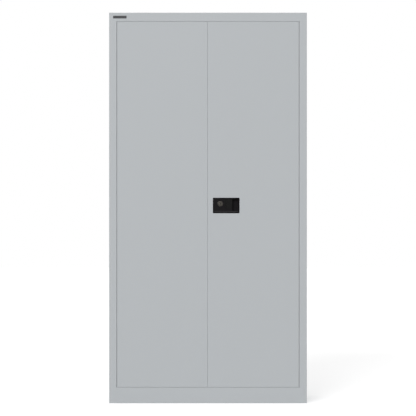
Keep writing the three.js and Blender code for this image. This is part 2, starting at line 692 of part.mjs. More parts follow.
function handleHousing() {
  const cavityRight = MOUTH_RIGHT;
  const pocketLeft = CAVITY_LEFT - BODY_WALL;
  const bodyHeight = [-BODY_HALF_HEIGHT, BODY_HALF_HEIGHT];
  const cavityHeight = [-CAVITY_HALF_HEIGHT, CAVITY_HALF_HEIGHT];
  const lugFront = SKIN_SEAT + CLAMP_THICK + SEAM;
  const lugLefts = [LUG_INSET - BODY_HALF_WIDTH, BODY_HALF_WIDTH - LUG_INSET - LUG_WIDTH];
  const lugs = lugLefts.flatMap((left) => [-1, 1].map((up) => block(
    [left, left + LUG_WIDTH],
    [lugFront, LOCK_BLOCK_DEEP],
    [up * CAVITY_HALF_HEIGHT, up * (BODY_HALF_HEIGHT + LUG_PROUD)],
  )));
  const shell = cut(
    join(
      run('y', roundedRectangle(HANDLE_HEIGHT / 2, HANDLE_WIDTH / 2, HANDLE_CORNER), -BEZEL_PROUD, 0),
      block([-BODY_HALF_WIDTH, pocketLeft + BODY_WALL], [-SEAM, LOCK_BLOCK_DEEP], bodyHeight),
      block([pocketLeft, BODY_HALF_WIDTH], [-SEAM, POCKET_DEEP + BODY_WALL], bodyHeight),
      ...lugs,
    ),
    block(
      [BORDER - HANDLE_WIDTH / 2, HANDLE_WIDTH / 2 - BORDER],
      [-BEZEL_PROUD - OVERRUN, FIELD_FACE],
      [BORDER - HANDLE_HEIGHT / 2, HANDLE_HEIGHT / 2 - BORDER],
    ),
    block(
      [BODY_WALL - BODY_HALF_WIDTH, pocketLeft],
      [FIELD_FACE + LOCK_FIELD_THICK, LOCK_BLOCK_DEEP + OVERRUN],
      cavityHeight,
    ),
    block([CAVITY_LEFT, cavityRight], [FIELD_FACE + GRIP_THICK, POCKET_DEEP], cavityHeight),
  );
  const bossRadius = BARREL_RADIUS + BOSS_WALL;
  const boreRadius = holeRadius(BARREL_RADIUS, SEAM, LARGE_FACETS);
  const boss = run('y', circle(LOCK_RISE, LOCK_X, bossRadius, LARGE_FACETS), -SEAM, BARREL_BACK - SEAM);
  const gripPad = block(
    [GRIP_LEFT, MOUTH_LEFT],
    [FIELD_FACE - GRIP_PROUD, 0],
    [CAVITY_HALF_HEIGHT - GRIP_HEIGHT, CAVITY_HALF_HEIGHT],
  );
  return cut(
    join(shell, boss, gripPad),
    block(
      [MOUTH_LEFT, MOUTH_RIGHT],
      [-BEZEL_PROUD - OVERRUN, FIELD_FACE + GRIP_THICK + OVERRUN],
      [CAVITY_HALF_HEIGHT - MOUTH_HEIGHT, CAVITY_HALF_HEIGHT],
    ),
    run('y', circle(LOCK_RISE, LOCK_X, boreRadius, LARGE_FACETS), BARREL_FRONT - OVERRUN, BARREL_BACK),
  );
}

// Steel ring behind the door skin, held by the housing's lugs
function handleClampPlate() {
  const ring = (overX, overZ, front, back) => block(
    [-BODY_HALF_WIDTH - overX, BODY_HALF_WIDTH + overX],
    [front, back],
    [-BODY_HALF_HEIGHT - overZ, BODY_HALF_HEIGHT + overZ],
  );
  return cut(
    ring(CLAMP_BORDER, CLAMP_BORDER, SKIN_SEAT, SKIN_SEAT + CLAMP_THICK),
    ring(BODY_CLEARANCE, BODY_CLEARANCE, -OVERRUN, SKIN_SEAT + CLAMP_THICK + OVERRUN),
  );
}

function lockBarrel() {
  const profile = points([
    [0, BARREL_FRONT],
    [BARREL_RADIUS - BARREL_CHAMFER, BARREL_FRONT],
    [BARREL_RADIUS, BARREL_FRONT + BARREL_CHAMFER],
    [BARREL_RADIUS, BARREL_BACK],
    [0, BARREL_BACK],
  ]);
  return cut(
    new THREE.LatheGeometry(profile, LARGE_FACETS),
    block(
      [-KEYWAY_WIDTH / 2, KEYWAY_WIDTH / 2],
      [BARREL_FRONT - OVERRUN, BARREL_FRONT + KEYWAY_DEEP],
      [-KEYWAY_HEIGHT / 2, KEYWAY_HEIGHT / 2],
    ),
  );
}

// Disc behind the barrel with a crank pin for each rod
function lockCam() {
  const pins = [UPPER_ROD, LOWER_ROD].map(({ turn }) => run(
    'y',
    circle(turn * CRANK_OFFSET, turn * CRANK_OFFSET, CRANK_PIN_RADIUS, SMALL_FACETS),
    CAM_FRONT,
    ROD_BACK + CRANK_PIN_OVERHANG,
  ));
  const disc = run('y', circle(0, 0, CAM_RADIUS, LARGE_FACETS), CAM_FRONT, CAM_FRONT + CAM_THICK);
  return join(disc, ...pins);
}

// Flat rod from its crank slot to its tip, drawn about the lock's axis
function lockRod({ turn, tip }) {
  const slotMiddle = turn * CRANK_OFFSET;
  const foot = slotMiddle + turn * (CRANK_PLAY + ROD_WALL);
  const shoulder = tip + turn * ROD_TIP_CHAMFER;
  const outline = points([
    [foot, ROD_NEAR],
    [shoulder, ROD_NEAR],
    [tip, ROD_NEAR + ROD_TIP_CHAMFER],
    [tip, ROD_FAR - ROD_TIP_CHAMFER],
    [shoulder, ROD_FAR],
    [foot, ROD_FAR],
  ].map(([z, x]) => [z, turn * x]));
  return cut(
    run('y', outline, ROD_FRONT, ROD_BACK),
    block(
      [turn * (ROD_NEAR + ROD_WALL), turn * (ROD_FAR - ROD_WALL)],
      [ROD_FRONT - OVERRUN, ROD_BACK + OVERRUN],
      [slotMiddle - CRANK_PLAY, slotMiddle + CRANK_PLAY],
    ),
  );
}

// Nylon block on the door skin that a rod slides through, drawn about the lock's axis
function rodGuide({ turn }) {
  return cut(
    block(
      [turn * (ROD_NEAR - GUIDE_WALL), turn * (ROD_FAR + GUIDE_WALL)],
      [SKIN_SEAT, ROD_BACK + GUIDE_CLEARANCE + GUIDE_BACK_WALL],
      [-GUIDE_HEIGHT / 2, GUIDE_HEIGHT / 2],
    ),
    block(
      [turn * (ROD_NEAR - GUIDE_CLEARANCE), turn * (ROD_FAR + GUIDE_CLEARANCE)],
      [ROD_FRONT - GUIDE_CLEARANCE, ROD_BACK + GUIDE_CLEARANCE],
      [-GUIDE_HEIGHT, GUIDE_HEIGHT],
    ),
  );
}

// Assembly

function carcass() {
  const group = new THREE.Group();
  group.add(
    mesh('top_panel', topPanel(), PAINT),
    mesh('base_panel', basePanel(), PAINT),
    mesh('back_panel', backPanel(), PAINT),
    mesh('upper_strike_plate', strikePlate(UPPER_ROD, RAIL_BOTTOM + SKIN_SEAT), ZINC),
    mesh('lower_strike_plate', strikePlate(LOWER_ROD, PLINTH - SKIN_SEAT - STRIKE_THICK), ZINC),
  );
  for (const { side, sign } of SIDES) {
    group.add(mesh(`side_panel_${side}`, sidePanel(sign), PAINT));
    for (const [index, place] of hingePlaces(sign).entries()) {
      group.add(mesh(`hinge_arm_${side}_${index + 1}`, hingeArm(sign), ZINC, place));
    }
    const bufferX = sign * BUFFER_FROM_MEETING;
    group.add(
      mesh(`door_buffer_${side}_top`, doorBuffer(), RUBBER, [bufferX, 0, RAIL_BOTTOM - STOP_LIP / 2]),
      mesh(`door_buffer_${side}_bottom`, doorBuffer(), RUBBER, [bufferX, 0, PLINTH + STOP_LIP / 2]),
    );
  }
  const badgeOutline = roundedRectangle(BADGE_HEIGHT / 2, BADGE_WIDTH / 2, BADGE_CORNER);
  const badge = run('y', badgeOutline, -BADGE_THICK, 0);
  const badgePlace = [BADGE_FROM_SIDE + BADGE_WIDTH / 2 - WIDTH / 2, FRONT, HEIGHT - TOP_RAIL / 2];
  group.add(mesh('badge_plate', badge, BLACK_PLASTIC, badgePlace));
  return group;
}

function shelving() {
  const group = new THREE.Group();
  for (const { side, sign } of SIDES) {
    for (const { row, y } of UPRIGHT_ROWS) {
      const place = [sign * UPRIGHT_INNER, y, 0];
      group.add(mesh(`shelf_upright_${side}_${row}`, shelfUpright(sign), PAINT, place));
    }
  }
  for (let level = 1; level <= SHELF_COUNT; level += 1) {
    const slot = slotHeight(FIRST_SHELF_SLOT_COUNT + (level - 1) * SHELF_SLOT_COUNT);
    group.add(mesh(`shelf_${level}`, shelf(), PAINT, [0, 0, slot + CLIP_TOP + SEAM + SHELF_EDGE]));
    for (const { side, sign } of SIDES) {
      for (const { row, y } of UPRIGHT_ROWS) {
        const name = `shelf_clip_${level}_${side}_${row}`;
        group.add(mesh(name, shelfClip(sign), ZINC, [sign * UPRIGHT_INNER, y, slot]));
      }
    }
  }
  return group;
}

function door(side, sign, tray) {
  const group = new THREE.Group();
  group.add(
    mesh(`${side}_door_skin`, tray, PAINT),
    mesh(`${side}_door_stiffener`, doorStiffener(), PAINT, [sign * STIFFENER_X, FRONT, 0]),
  );
  for (const [index, place] of hingePlaces(sign).entries()) {
    group.add(mesh(`hinge_clevis_${side}_${index + 1}`, hingeClevis(sign), ZINC, place));
  }
  return group;
}

function leftDoor() {
  const group = door('left', -1, doorTray(-1, LEFT_FREE_EDGE));
  group.add(mesh('closing_strip', closingStrip(), PAINT));
  return group;
}

function rightDoor() {
  const group = door('right', 1, handleDoorTray());
  const [lockX, lockY, lockZ] = LOCK_PLACE;
  group.add(
    mesh('handle_housing', handleHousing(), BLACK_PLASTIC, HANDLE_PLACE),
    mesh('handle_clamp_plate', handleClampPlate(), ZINC, HANDLE_PLACE),
    mesh('lock_barrel', lockBarrel(), NICKEL, LOCK_PLACE),
    mesh('lock_cam', lockCam(), ZINC, LOCK_PLACE),
    mesh('upper_rod', lockRod(UPPER_ROD), ZINC, LOCK_PLACE),
    mesh('lower_rod', lockRod(LOWER_ROD), ZINC, LOCK_PLACE),
    mesh('rod_guide_upper_1', rodGuide(UPPER_ROD), NYLON, [lockX, lockY, lockZ + GUIDE_FROM_LOCK]),
    mesh('rod_guide_upper_2', rodGuide(UPPER_ROD), NYLON, [lockX, lockY, DOOR_TOP - GUIDE_FROM_END]),
    mesh('rod_guide_lower_1', rodGuide(LOWER_ROD), NYLON, [lockX, lockY, lockZ - GUIDE_FROM_LOCK]),
    mesh('rod_guide_lower_2', rodGuide(LOWER_ROD), NYLON, [lockX, lockY, DOOR_BOTTOM + GUIDE_FROM_END]),
  );
  return group;
}

const cupboard = new THREE.Group();
cupboard.add(carcass(), shelving(), leftDoor(), rightDoor());

export default cupboard;
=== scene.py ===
"""Dresses the double door steel cupboard's frame with its finished pieces, its finishes and a plain stage."""

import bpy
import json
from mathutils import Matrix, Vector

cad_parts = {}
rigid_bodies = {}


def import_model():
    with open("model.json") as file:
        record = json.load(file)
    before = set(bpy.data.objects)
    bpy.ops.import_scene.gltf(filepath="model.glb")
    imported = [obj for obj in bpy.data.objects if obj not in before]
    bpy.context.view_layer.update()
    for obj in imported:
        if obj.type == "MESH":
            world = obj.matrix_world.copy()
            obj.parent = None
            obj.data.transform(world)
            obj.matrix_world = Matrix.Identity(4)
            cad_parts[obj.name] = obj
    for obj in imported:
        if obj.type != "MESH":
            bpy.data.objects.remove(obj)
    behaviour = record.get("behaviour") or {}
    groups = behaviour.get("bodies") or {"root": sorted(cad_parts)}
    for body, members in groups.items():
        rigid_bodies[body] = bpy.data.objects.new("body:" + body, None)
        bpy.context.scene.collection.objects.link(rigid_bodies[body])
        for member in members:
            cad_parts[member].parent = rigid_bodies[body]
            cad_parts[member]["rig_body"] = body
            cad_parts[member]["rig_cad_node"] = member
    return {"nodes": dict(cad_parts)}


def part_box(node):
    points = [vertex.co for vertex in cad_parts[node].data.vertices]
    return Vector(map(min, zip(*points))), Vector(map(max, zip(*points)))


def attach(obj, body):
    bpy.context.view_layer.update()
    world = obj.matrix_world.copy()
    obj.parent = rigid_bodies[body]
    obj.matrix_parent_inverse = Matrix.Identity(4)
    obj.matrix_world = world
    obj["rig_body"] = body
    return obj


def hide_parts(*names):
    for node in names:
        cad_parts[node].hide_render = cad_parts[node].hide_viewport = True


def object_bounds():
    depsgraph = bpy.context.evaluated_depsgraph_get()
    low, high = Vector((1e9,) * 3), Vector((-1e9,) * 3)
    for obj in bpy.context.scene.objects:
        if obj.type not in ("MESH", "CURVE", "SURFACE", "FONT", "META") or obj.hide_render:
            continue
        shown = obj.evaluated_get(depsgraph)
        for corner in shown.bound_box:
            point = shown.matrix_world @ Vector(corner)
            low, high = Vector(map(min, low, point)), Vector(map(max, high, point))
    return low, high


bl_info = {
    "name": "Double Door Cupboard",
    "version": (1, 0, 0),
    "blender": (4, 5, 0),
    "location": "3D View > Sidebar > Cupboard",
    "description": "Models the finished pieces of a steel cupboard on its packed frame",
    "category": "Object",
}

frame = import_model()
cad_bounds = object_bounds()

import json
from math import pi, radians

import bmesh
import bpy
from bpy.props import FloatProperty, FloatVectorProperty, IntProperty, PointerProperty
from bpy.types import Operator, Panel, PropertyGroup
from mathutils import Vector

SIDES = ("left", "right")
LEVELS = ("upper", "lower")
ROWS = ("front", "rear")
HINGES = range(1, 4)
SHELVES = range(1, 4)
GUIDES = range(1, 3)

HOUSING_LOW, HOUSING_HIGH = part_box("handle_housing")
BARREL_LOW, BARREL_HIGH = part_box("lock_barrel")
BARREL_CENTRE = (BARREL_LOW + BARREL_HIGH) / 2
BARREL_RADIUS = (BARREL_HIGH.x - BARREL_LOW.x) / 2

# How far a cutter runs past the surface that it cuts
OVERRUN = 0.005
# Play in the tests for a polygon's place
SLACK = 1e-4

# The faint spot welds: where the back and the outer faces begin, the rows, and the marks' pitch and radius
BACK_BEGINS = 0.19
BACK_WELD_ROW = 0.449
BACK_WELDS = {"pitch": 0.14, "radius": 0.0035}
SIDES_BEGIN = 0.4562
SIDE_WELD_ROWS = (-0.1335, -0.0965, 0.1365, 0.1735)
SIDE_WELDS = {"pitch": 0.2, "radius": 0.003}

# Between which radii the lock face's sunken groove turns to painted shade, and where the outer ring's painted
# highlight begins
GROOVE_SHADE_FADE = (0.0079, 0.0084)
RIM_HIGHLIGHT_FADE = (0.0090, 0.0096)

# What a noise pattern mostly stays between
NOISE_RANGE = (0.3, 0.7)
# Over which cosines of the angle to its brightest direction the sky's shine grows
GLOW_FADE = (-0.4, 0.9)


def srgb(red, green, blue):
    """The scene's linear colour for three values of 0 to 255."""
    shares = (value / 255 for value in (red, green, blue))
    return tuple(s / 12.92 if s <= 0.04045 else ((s + 0.055) / 1.055) ** 2.4 for s in shares)


def length(name, default, description):
    return FloatProperty(name=name, default=default, min=0.0, unit="LENGTH", description=description)


def amount(name, default, description):
    return FloatProperty(name=name, default=default, min=0.0, description=description)


def colour(name, default, description):
    return FloatVectorProperty(
        name=name, default=default, min=0.0, max=1.0, size=3, subtype="COLOR", description=description
    )


class CupboardFinishes(PropertyGroup):
    """Colours of the finishes"""

    paint: colour("Paint", srgb(183, 187, 190), "Powder coat on all the sheet steel")
    plastic: colour("Handle plastic", srgb(19, 17, 20), "Textured plastic of the handle")
    grip: colour("Grip bar", srgb(19, 19, 19), "Smoother plastic of the grip bar")
    nickel: colour("Lock face", srgb(112, 109, 103), "Nickel plate on the lock barrel")
    zinc: colour("Zinc plate", srgb(190, 192, 188), "Zinc plate on the rods, clips and hinges")
    nylon: colour("Nylon", srgb(220, 218, 210), "Natural nylon of the rod guides")
    rubber: colour("Rubber", srgb(42, 42, 43), "Rubber of the door buffers")
    badge: colour("Badge plate", srgb(77, 77, 79), "Bare plate on the top rail")


class CupboardSheet(PropertyGroup):
    """Sizes of the folded sheet work"""

    thickness: length("Sheet", 0.0008, "Thickness of the steel sheet")
    fold_radius: length("Fold radius", 0.0012, "Outside radius of a fold")
    fold_segments: IntProperty(
        name="Fold segments", default=4, min=1, description="Flats that make the round of a fold"
    )
    door_lip: length("Door lip", 0.012, "Width of the lip behind the door's edges")
    hinge_reach: length("Hinge reach", 0.00035, "How far a finished door passes the bare one by its hinges")
    free_reach: length("Free reach", 0.00045, "The same at the edge where the doors meet")
    top_reach: length("Top reach", 0.0008, "The same at the top")
    bottom_reach: length("Bottom reach", 0.0006, "The same at the bottom")
    cutout_inset: length("Cut-out inset", 0.0035, "From the handle's outline to the cut-out's edge")
    notch_half: length("Notch half height", 0.0045, "Half the height of a hinge notch")
    notch_setback: length("Notch setback", 0.001, "From the door's face to a hinge notch")
    rod_hole_margin: length("Rod hole margin", 0.001, "Room round a lock rod in its hole")


class CupboardEdges(PropertyGroup):
    """Rounding of the edges of the solid pieces"""

    plate: length("Plates", 0.0003, "On the strike plates, clevises, clamp plate and cam")
    arm: length("Arms and clips", 0.0004, "On the hinge arms and the shelf clips")
    rod: length("Rods", 0.0005, "On the lock rods")
    guide: length("Guides", 0.0008, "On the rod guides")
    handle: length("Handle", 0.0004, "On the handle's moulding")
    collar: length("Collar", 0.0003, "On the collar round the lock")
    barrel: length("Barrel", 0.00012, "On the lock barrel's rings and keyway")
    badge: length("Badge plate", 0.0001, "On the badge plate")
    buffer: length("Buffers", 0.0004, "On the door buffers")


class CupboardHinge(PropertyGroup):
    """Sizes of the rivets that hold a hinge's clevis to the door"""

    web: length("Web", 0.0012, "Thickness of the clevis's web")
    rivet_radius: length("Rivet radius", 0.0026, "Radius of a rivet's head")
    rivet_height: length("Rivet height", 0.0009, "How far a rivet's head stands out of the web")
    rivet_dome: length("Rivet dome", 0.00072, "Rounding of a rivet's head")
    rivet_inset: length("Rivet inset", 0.0058, "From the web's edges to a rivet")


class CupboardHandle(PropertyGroup):
    """Sizes of the flush handle's moulding"""

    corner: length("Corner radius", 0.003, "Radius of the border's outer corners")
    slope: length("Slope", 0.0042, "Width of the border's outer slope")
    slope_rise: length("Slope rise", 0.0016, "How far the outer slope rises")
    border: length("Border", 0.0008, "Flat width of the border")
    chamfer: length("Chamfer", 0.0006, "Width of the slope from the border to the field")
    ledge: length("Ledge", 0.0044, "Further width of that slope along the bottom")
    face_shy: length("Face shy", 0.00005, "From the solid's foremost plane back to the border's face")
    field_depth: length("Field depth", 0.0015, "From the border's face back to the lock field")
    field_thickness: length("Field thickness", 0.003, "Plastic behind the lock field")
    body_inset: length("Body inset", 0.004, "From the border's outline to the body behind the door")
    body_round: length("Body round", 0.0015, "Rounding of the edges at the body's back")
    block_depth: length("Lock block depth", 0.006, "From the door's face to the back of the lock block")
    wall: length("Wall", 0.0025, "Wall thickness of the body")
    rib: length("Rib", 0.0022, "Width of the ribs on the pocket's back")
    rib_height: length("Rib height", 0.0008, "How far those ribs stand out")
    lug_inset: length("Lug inset", 0.012, "From the body's side to a lug over the clamp plate")
    lug_width: length("Lug width", 0.01, "Width of a lug")
    lug_proud: length("Lug proud", 0.003, "How far a lug reaches over the clamp plate")
    lug_front: length("Lug front", 0.0029, "From the door's face to a lug")
    lug_short: length("Lug short", 0.00005, "From the lock block's back to a lug's back")
    grip_left: length("Grip left", 0.0523, "From the border's left to the grip bar")
    grip_width: length("Grip width", 0.0378, "Width of the grip bar")
    grip_height: length("Grip height", 0.0425, "Height of the grip bar")
    grip_proud: length("Grip proud", 0.0008, "How far the grip bar stands out of the field")
    grip_thickness: length("Grip thickness", 0.004, "Thickness of the grip bar")
    grip_round: length("Grip round", 0.0007, "Rounding of the edge the fingers pull on")
    mouth_width: length("Mouth width", 0.0263, "Width of the finger pocket's mouth")
    mouth_height: length("Mouth height", 0.055, "Height of the finger pocket's mouth")
    undercut: length("Undercut", 0.034, "How far the pocket reaches behind the grip bar")
    top_margin: length("Top margin", 0.0065, "From the border's top to the grip bar and the mouth")
    groove_left: length("Groove left", 0.0047, "From the grip bar's left to its groove")
    groove_width: length("Groove width", 0.0055, "Width of the groove down the grip bar")
    groove_depth: length("Groove depth", 0.0032, "Depth of the groove down the grip bar")
    boss_wall: length("Boss wall", 0.003, "Wall of the boss round the lock barrel")
    boss_setback: length("Boss setback", 0.001, "From the lock field back to the boss's front")
    boss_short: length("Boss short", 0.0003, "From the lock barrel's back to the boss's back")
    bore_play: length("Bore play", 0.0003, "Room round the lock barrel in its bore")
    collar_radius: length("Collar radius", 0.0162, "Outer radius of the collar round the lock")
    collar_proud: length("Collar proud", 0.0007, "How far the collar stands out of the field")
    collar_play: length("Collar play", 0.00025, "Room round the lock barrel in the collar")


class CupboardLock(PropertyGroup):
    """Sizes of the lock barrel's face and keyway"""

    rim: length("Rim", 0.0022, "Width of the outer ring")
    step: length("Step", 0.0004, "Width of the slope on each side of the groove")
    groove: length("Groove", 0.0011, "Flat width of the groove round the plug")
    groove_depth: length("Groove depth", 0.0005, "From the outer ring back to the groove")
    plug_rise: length("Plug rise", 0.0004, "From the groove forward to the plug")
    edge_round: length("Edge round", 0.0009, "Rounding of the barrel's front edge")
    keyway_width: length("Keyway width", 0.0024, "Width of the keyway")
    keyway_height: length("Keyway height", 0.0096, "Height of the keyway")
    keyway_depth: length("Keyway depth", 0.003, "From the barrel's front to the keyway's floor")
    warding_left: length("Warding left", 0.0021, "From the barrel's middle to the warding's left side")
    warding_right: length("Warding right", 0.0003, "From the barrel's middle to the warding's right side")
    warding_bottom: length("Warding bottom", 0.0012, "From the barrel's middle down to the warding's bottom")
    warding_top: length("Warding top", 0.0006, "From the barrel's middle up to the warding's top")
    warding_depth: length("Warding depth", 0.0022, "From the barrel's front to the warding's floor")
    # Within these bounds the keyway's inside is painted black as shade
    painted_shade_radius: length("Dark radius", 0.0055, "How far from the barrel's middle the keyway's inside is dark")
    painted_shade_setback: length("Dark setback", 0.0003, "From the barrel's front to where that inside begins")


class CupboardTrims(PropertyGroup):
    """Sizes of the badge plate and the door buffers"""

    badge_corner: length("Badge corner", 0.0015, "Radius of the badge plate's corners")
    badge_rim: length("Badge rim", 0.0007, "Width of the rim round the badge plate")
    badge_slope: length("Badge slope", 0.0002, "Width of the slope inside that rim")
    badge_sink: length("Badge sink", 0.00015, "How far the plate lies behind its rim")
    buffer_rim: length("Buffer rim", 0.0014, "Width of the rim round a buffer's face")
    buffer_slope: length("Buffer slope", 0.0006, "Width of the slope inside that rim")
    buffer_sink: length("Buffer sink", 0.0003, "How far the face lies behind its rim")


class CupboardStage(PropertyGroup):
    """Camera, lamp, even light and floor"""

    view_width: length("View width", 1.9232, "Width of the camera's view at the cupboard's front")
    distance: length("Camera distance", 9.0, "From the camera to the cupboard's front")
    sky: amount("Sky", 0.53, "Strength of the even light")
    glow_low: amount("Low glow", 0.15, "What shine shows from below")
    glow_high: amount("High glow", 0.9, "What shine shows from above")
    glow_from: FloatVectorProperty(
        name="Glow from", default=(-0.15, -0.35, 0.83), subtype="XYZ", description="Where shine is brightest"
    )
    key: amount("Key lamp", 1.42, "Strength of the soft sun")
    key_along: FloatVectorProperty(
        name="Key along", default=(0.32, 1.0, -0.42), subtype="XYZ", description="Which way the sun shines"
    )
    key_angle: FloatProperty(
        name="Key angle", default=radians(25), unit="ROTATION", description="Width of the soft sun in the sky"
    )
    floor_size: length("Floor size", 40.0, "Side of the square floor")
    floor_lift: amount("Floor lift", 0.42, "Light that the floor adds, where the camera sees it")


# Making and shaping meshes


def deselect():
    if bpy.context.object and bpy.context.object.mode != "OBJECT":
        bpy.ops.object.mode_set(mode="OBJECT")
    bpy.ops.object.select_all(action="DESELECT")


def activate(piece):
    deselect()
    piece.select_set(True)
    bpy.context.view_layer.objects.active = piece


def settle(piece, name):
    """Names the piece and puts its place, turn and size into its mesh."""
    activate(piece)
    bpy.ops.object.transform_apply(location=True, rotation=True, scale=True)
    piece.name = name
    piece.data.name = name
    return piece


def add_block(name, low, high):
    deselect()
    low, high = Vector(low), Vector(high)
    bpy.ops.mesh.primitive_cube_add(size=1, location=(low + high) / 2, scale=high - low)
    return settle(bpy.context.object, name)


def add_drum(name, centre, radius, front, back, sides=48):
    """A round bar along y between two places, with its centre in x and z."""
    deselect()
    bpy.ops.mesh.primitive_cylinder_add(
        vertices=sides,
        radius=radius,
        depth=back - front,
        location=(centre[0], (front + back) / 2, centre[1]),
        rotation=(pi / 2, 0, 0),
    )
    return settle(bpy.context.object, name)


def pick(piece, kind, test):
    """Enters edit mode with the piece's faces or edges that pass the test selected."""
    if bpy.context.object is not piece or piece.mode != "EDIT":
        activate(piece)
        bpy.ops.object.mode_set(mode="EDIT")
    bpy.ops.mesh.select_mode(type=kind)
    bpy.ops.mesh.select_all(action="DESELECT")
    shape = bmesh.from_edit_mesh(piece.data)
    found = [item for item in (shape.faces if kind == "FACE" else shape.edges) if test(item)]
    if not found:
        raise RuntimeError(f"{piece.name}: nothing to select")
    for item in found:
        item.select_set(True)
    bmesh.update_edit_mesh(piece.data)


def faces_front(face):
    return face.normal.y < -0.9


def faces_rear(face):
    return face.normal.y > 0.9


def at_depth(face, depth):
    """Whether the face's middle lies at this y."""
    return near(face.calc_center_median().y, depth)


def framed(face, left, right, bottom, top):
    """Whether the face's middle lies between these sides, seen from the front."""
    centre = face.calc_center_median()
    return left < centre.x < right and bottom < centre.z < top


def middle(edge):
    return (edge.verts[0].co + edge.verts[1].co) / 2


def along(edge, axis):
    """Whether the edge lies along x, y or z (0, 1 or 2)."""
    run = edge.verts[1].co - edge.verts[0].co
    return abs(run[axis]) > 0.999 * run.length


def near(place, *others, slack=2e-5):
    """Whether the place is about the same as any of the others."""
    return any(abs(place - other) < slack for other in others)


def inset(thickness, each=False):
    bpy.ops.mesh.inset(thickness=thickness, use_individual=each)


def extrude(x=0.0, y=0.0):
    bpy.ops.mesh.extrude_region_move(TRANSFORM_OT_translate={"value": (x, y, 0)})


def slide(y=0.0, z=0.0):
    bpy.ops.transform.translate(value=(0, y, z))


def round_off(offset, segments):
    """Rounds the selected edges."""
    bpy.ops.mesh.bevel(offset=offset, segments=segments, affect="EDGES")


def score(piece, test, axis, *places):
    """Cuts the faces that pass the test across x, y or z (0, 1 or 2) at each of the places."""
    for place in places:
        point, normal = Vector(), Vector()
        point[axis], normal[axis] = place, 1
        pick(piece, "FACE", test)
        bpy.ops.mesh.bisect(plane_co=point, plane_no=normal)


def modify(piece, kind, **settings):
    activate(piece)
    modifier = piece.modifiers.new(kind.title(), kind)
    for name, value in settings.items():
        setattr(modifier, name, value)
    bpy.ops.object.modifier_apply(modifier=modifier.name)


def carve(piece, *cutters, operation="DIFFERENCE"):
    for cutter in cutters:
        modify(piece, "BOOLEAN", object=cutter, operation=operation, solver="EXACT")
        bpy.data.objects.remove(cutter)


def soften(piece, width, segments=2):
    """Rounds the piece's sharp edges a little."""
    modify(
        piece,
        "BEVEL",
        width=width,
        segments=segments,
        limit_method="ANGLE",
        angle_limit=radians(35),
        use_clamp_overlap=True,
    )


def shade(piece, angle=50):
    """Smooths the rounds while the flats stay flat."""
    activate(piece)
    bpy.ops.object.shade_smooth_by_angle(angle=radians(angle))
    modify(piece, "WEIGHTED_NORMAL", keep_sharp=True, weight=50)


def merged_copy(node, name):
    """A copy of a frame node with its loose triangles merged into whole faces."""
    activate(frame["nodes"][node])
    bpy.ops.object.duplicate()
    piece = bpy.context.object
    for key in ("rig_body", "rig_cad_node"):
        del piece[key]
    piece.parent = None
    piece.data.materials.clear()
    settle(piece, name)
    bpy.ops.mesh.customdata_custom_splitnormals_clear()
    bpy.ops.object.mode_set(mode="EDIT")
    bpy.ops.mesh.select_all(action="SELECT")
    bpy.ops.mesh.remove_doubles(threshold=5e-6)
    bpy.ops.mesh.dissolve_limited(angle_limit=radians(0.6))
    bpy.ops.object.mode_set(mode="OBJECT")
    return piece


def hand_over(piece, slot, *nodes, body=None, made_of=None):
    """Gives the piece its finish, body and slot, and hides the frame nodes that it stands for.

    The finish has the slot's name unless made_of gives another, and the body is the first node's.
    """
    deselect()
    if not piece.data.materials:
        piece.data.materials.append(finish(made_of or slot))
    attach(piece, body or frame["nodes"][nodes[0]]["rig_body"])
    if nodes:
        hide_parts(*nodes)
    return piece


def set_out(piece, slot, places):
    """Hands over the piece, which stands at the first of the places, and a copy of it for each of the others.

    The places are pairs of a piece's name and the frame node that it stands for.
    """
    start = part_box(places[0][1])[0]
    for name, node in places[1:]:
        activate(piece)
        bpy.ops.object.duplicate()
        copy = bpy.context.object
        copy.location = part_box(node)[0] - start
        hand_over(settle(copy, name), slot, node)
    return hand_over(piece, slot, places[0][1])


def sheet_copies(*places):
    """Pieces with smooth folds, all copied from the first one's frame node."""
    name, node = places[0]
    piece = merged_copy(node, name)
    shade(piece)
    return set_out(piece, "paint", places)


def hard_copies(slot, width, *places, segments=2, heads=()):
    """Pieces with rounded edges, all copied from the first one's frame node, with any rivet heads added."""
    name, node = places[0]
    piece = merged_copy(node, name)
    soften(piece, width, segments)
    carve(piece, *heads, operation="UNION")
    shade(piece)
    return set_out(piece, slot, places)


# Finishes


class Wiring:
    """A node tree, with short ways to add and join its nodes."""

    def __init__(self, tree):
        self.tree = tree

    def add(self, kind, inputs=(), **settings):
        made = self.tree.nodes.new(kind)
        for name, value in settings.items():
            setattr(made, name, value)
        for name, value in dict(inputs).items():
            self.feed(made.inputs[name], value)
        return made

    def feed(self, socket, value):
        if isinstance(value, bpy.types.NodeSocket):
            self.tree.links.new(value, socket)
        else:
            socket.default_value = value

    def spread(self, value, low, high, start=0.0, end=1.0):
        """Low where the value is at start, high where it is at end, and between them in between."""
        inputs = {"Value": value, "From Min": start, "From Max": end, "To Min": low, "To Max": high}
        return self.add("ShaderNodeMapRange", inputs).outputs[0]

    def mix(self, share, first, second):
        return self.add("ShaderNodeMix", {0: share, 6: first, 7: second}, data_type="RGBA").outputs[2]

    def math(self, operation, first, second=0.0):
        return self.add("ShaderNodeMath", {0: first, 1: second}, operation=operation).outputs[0]


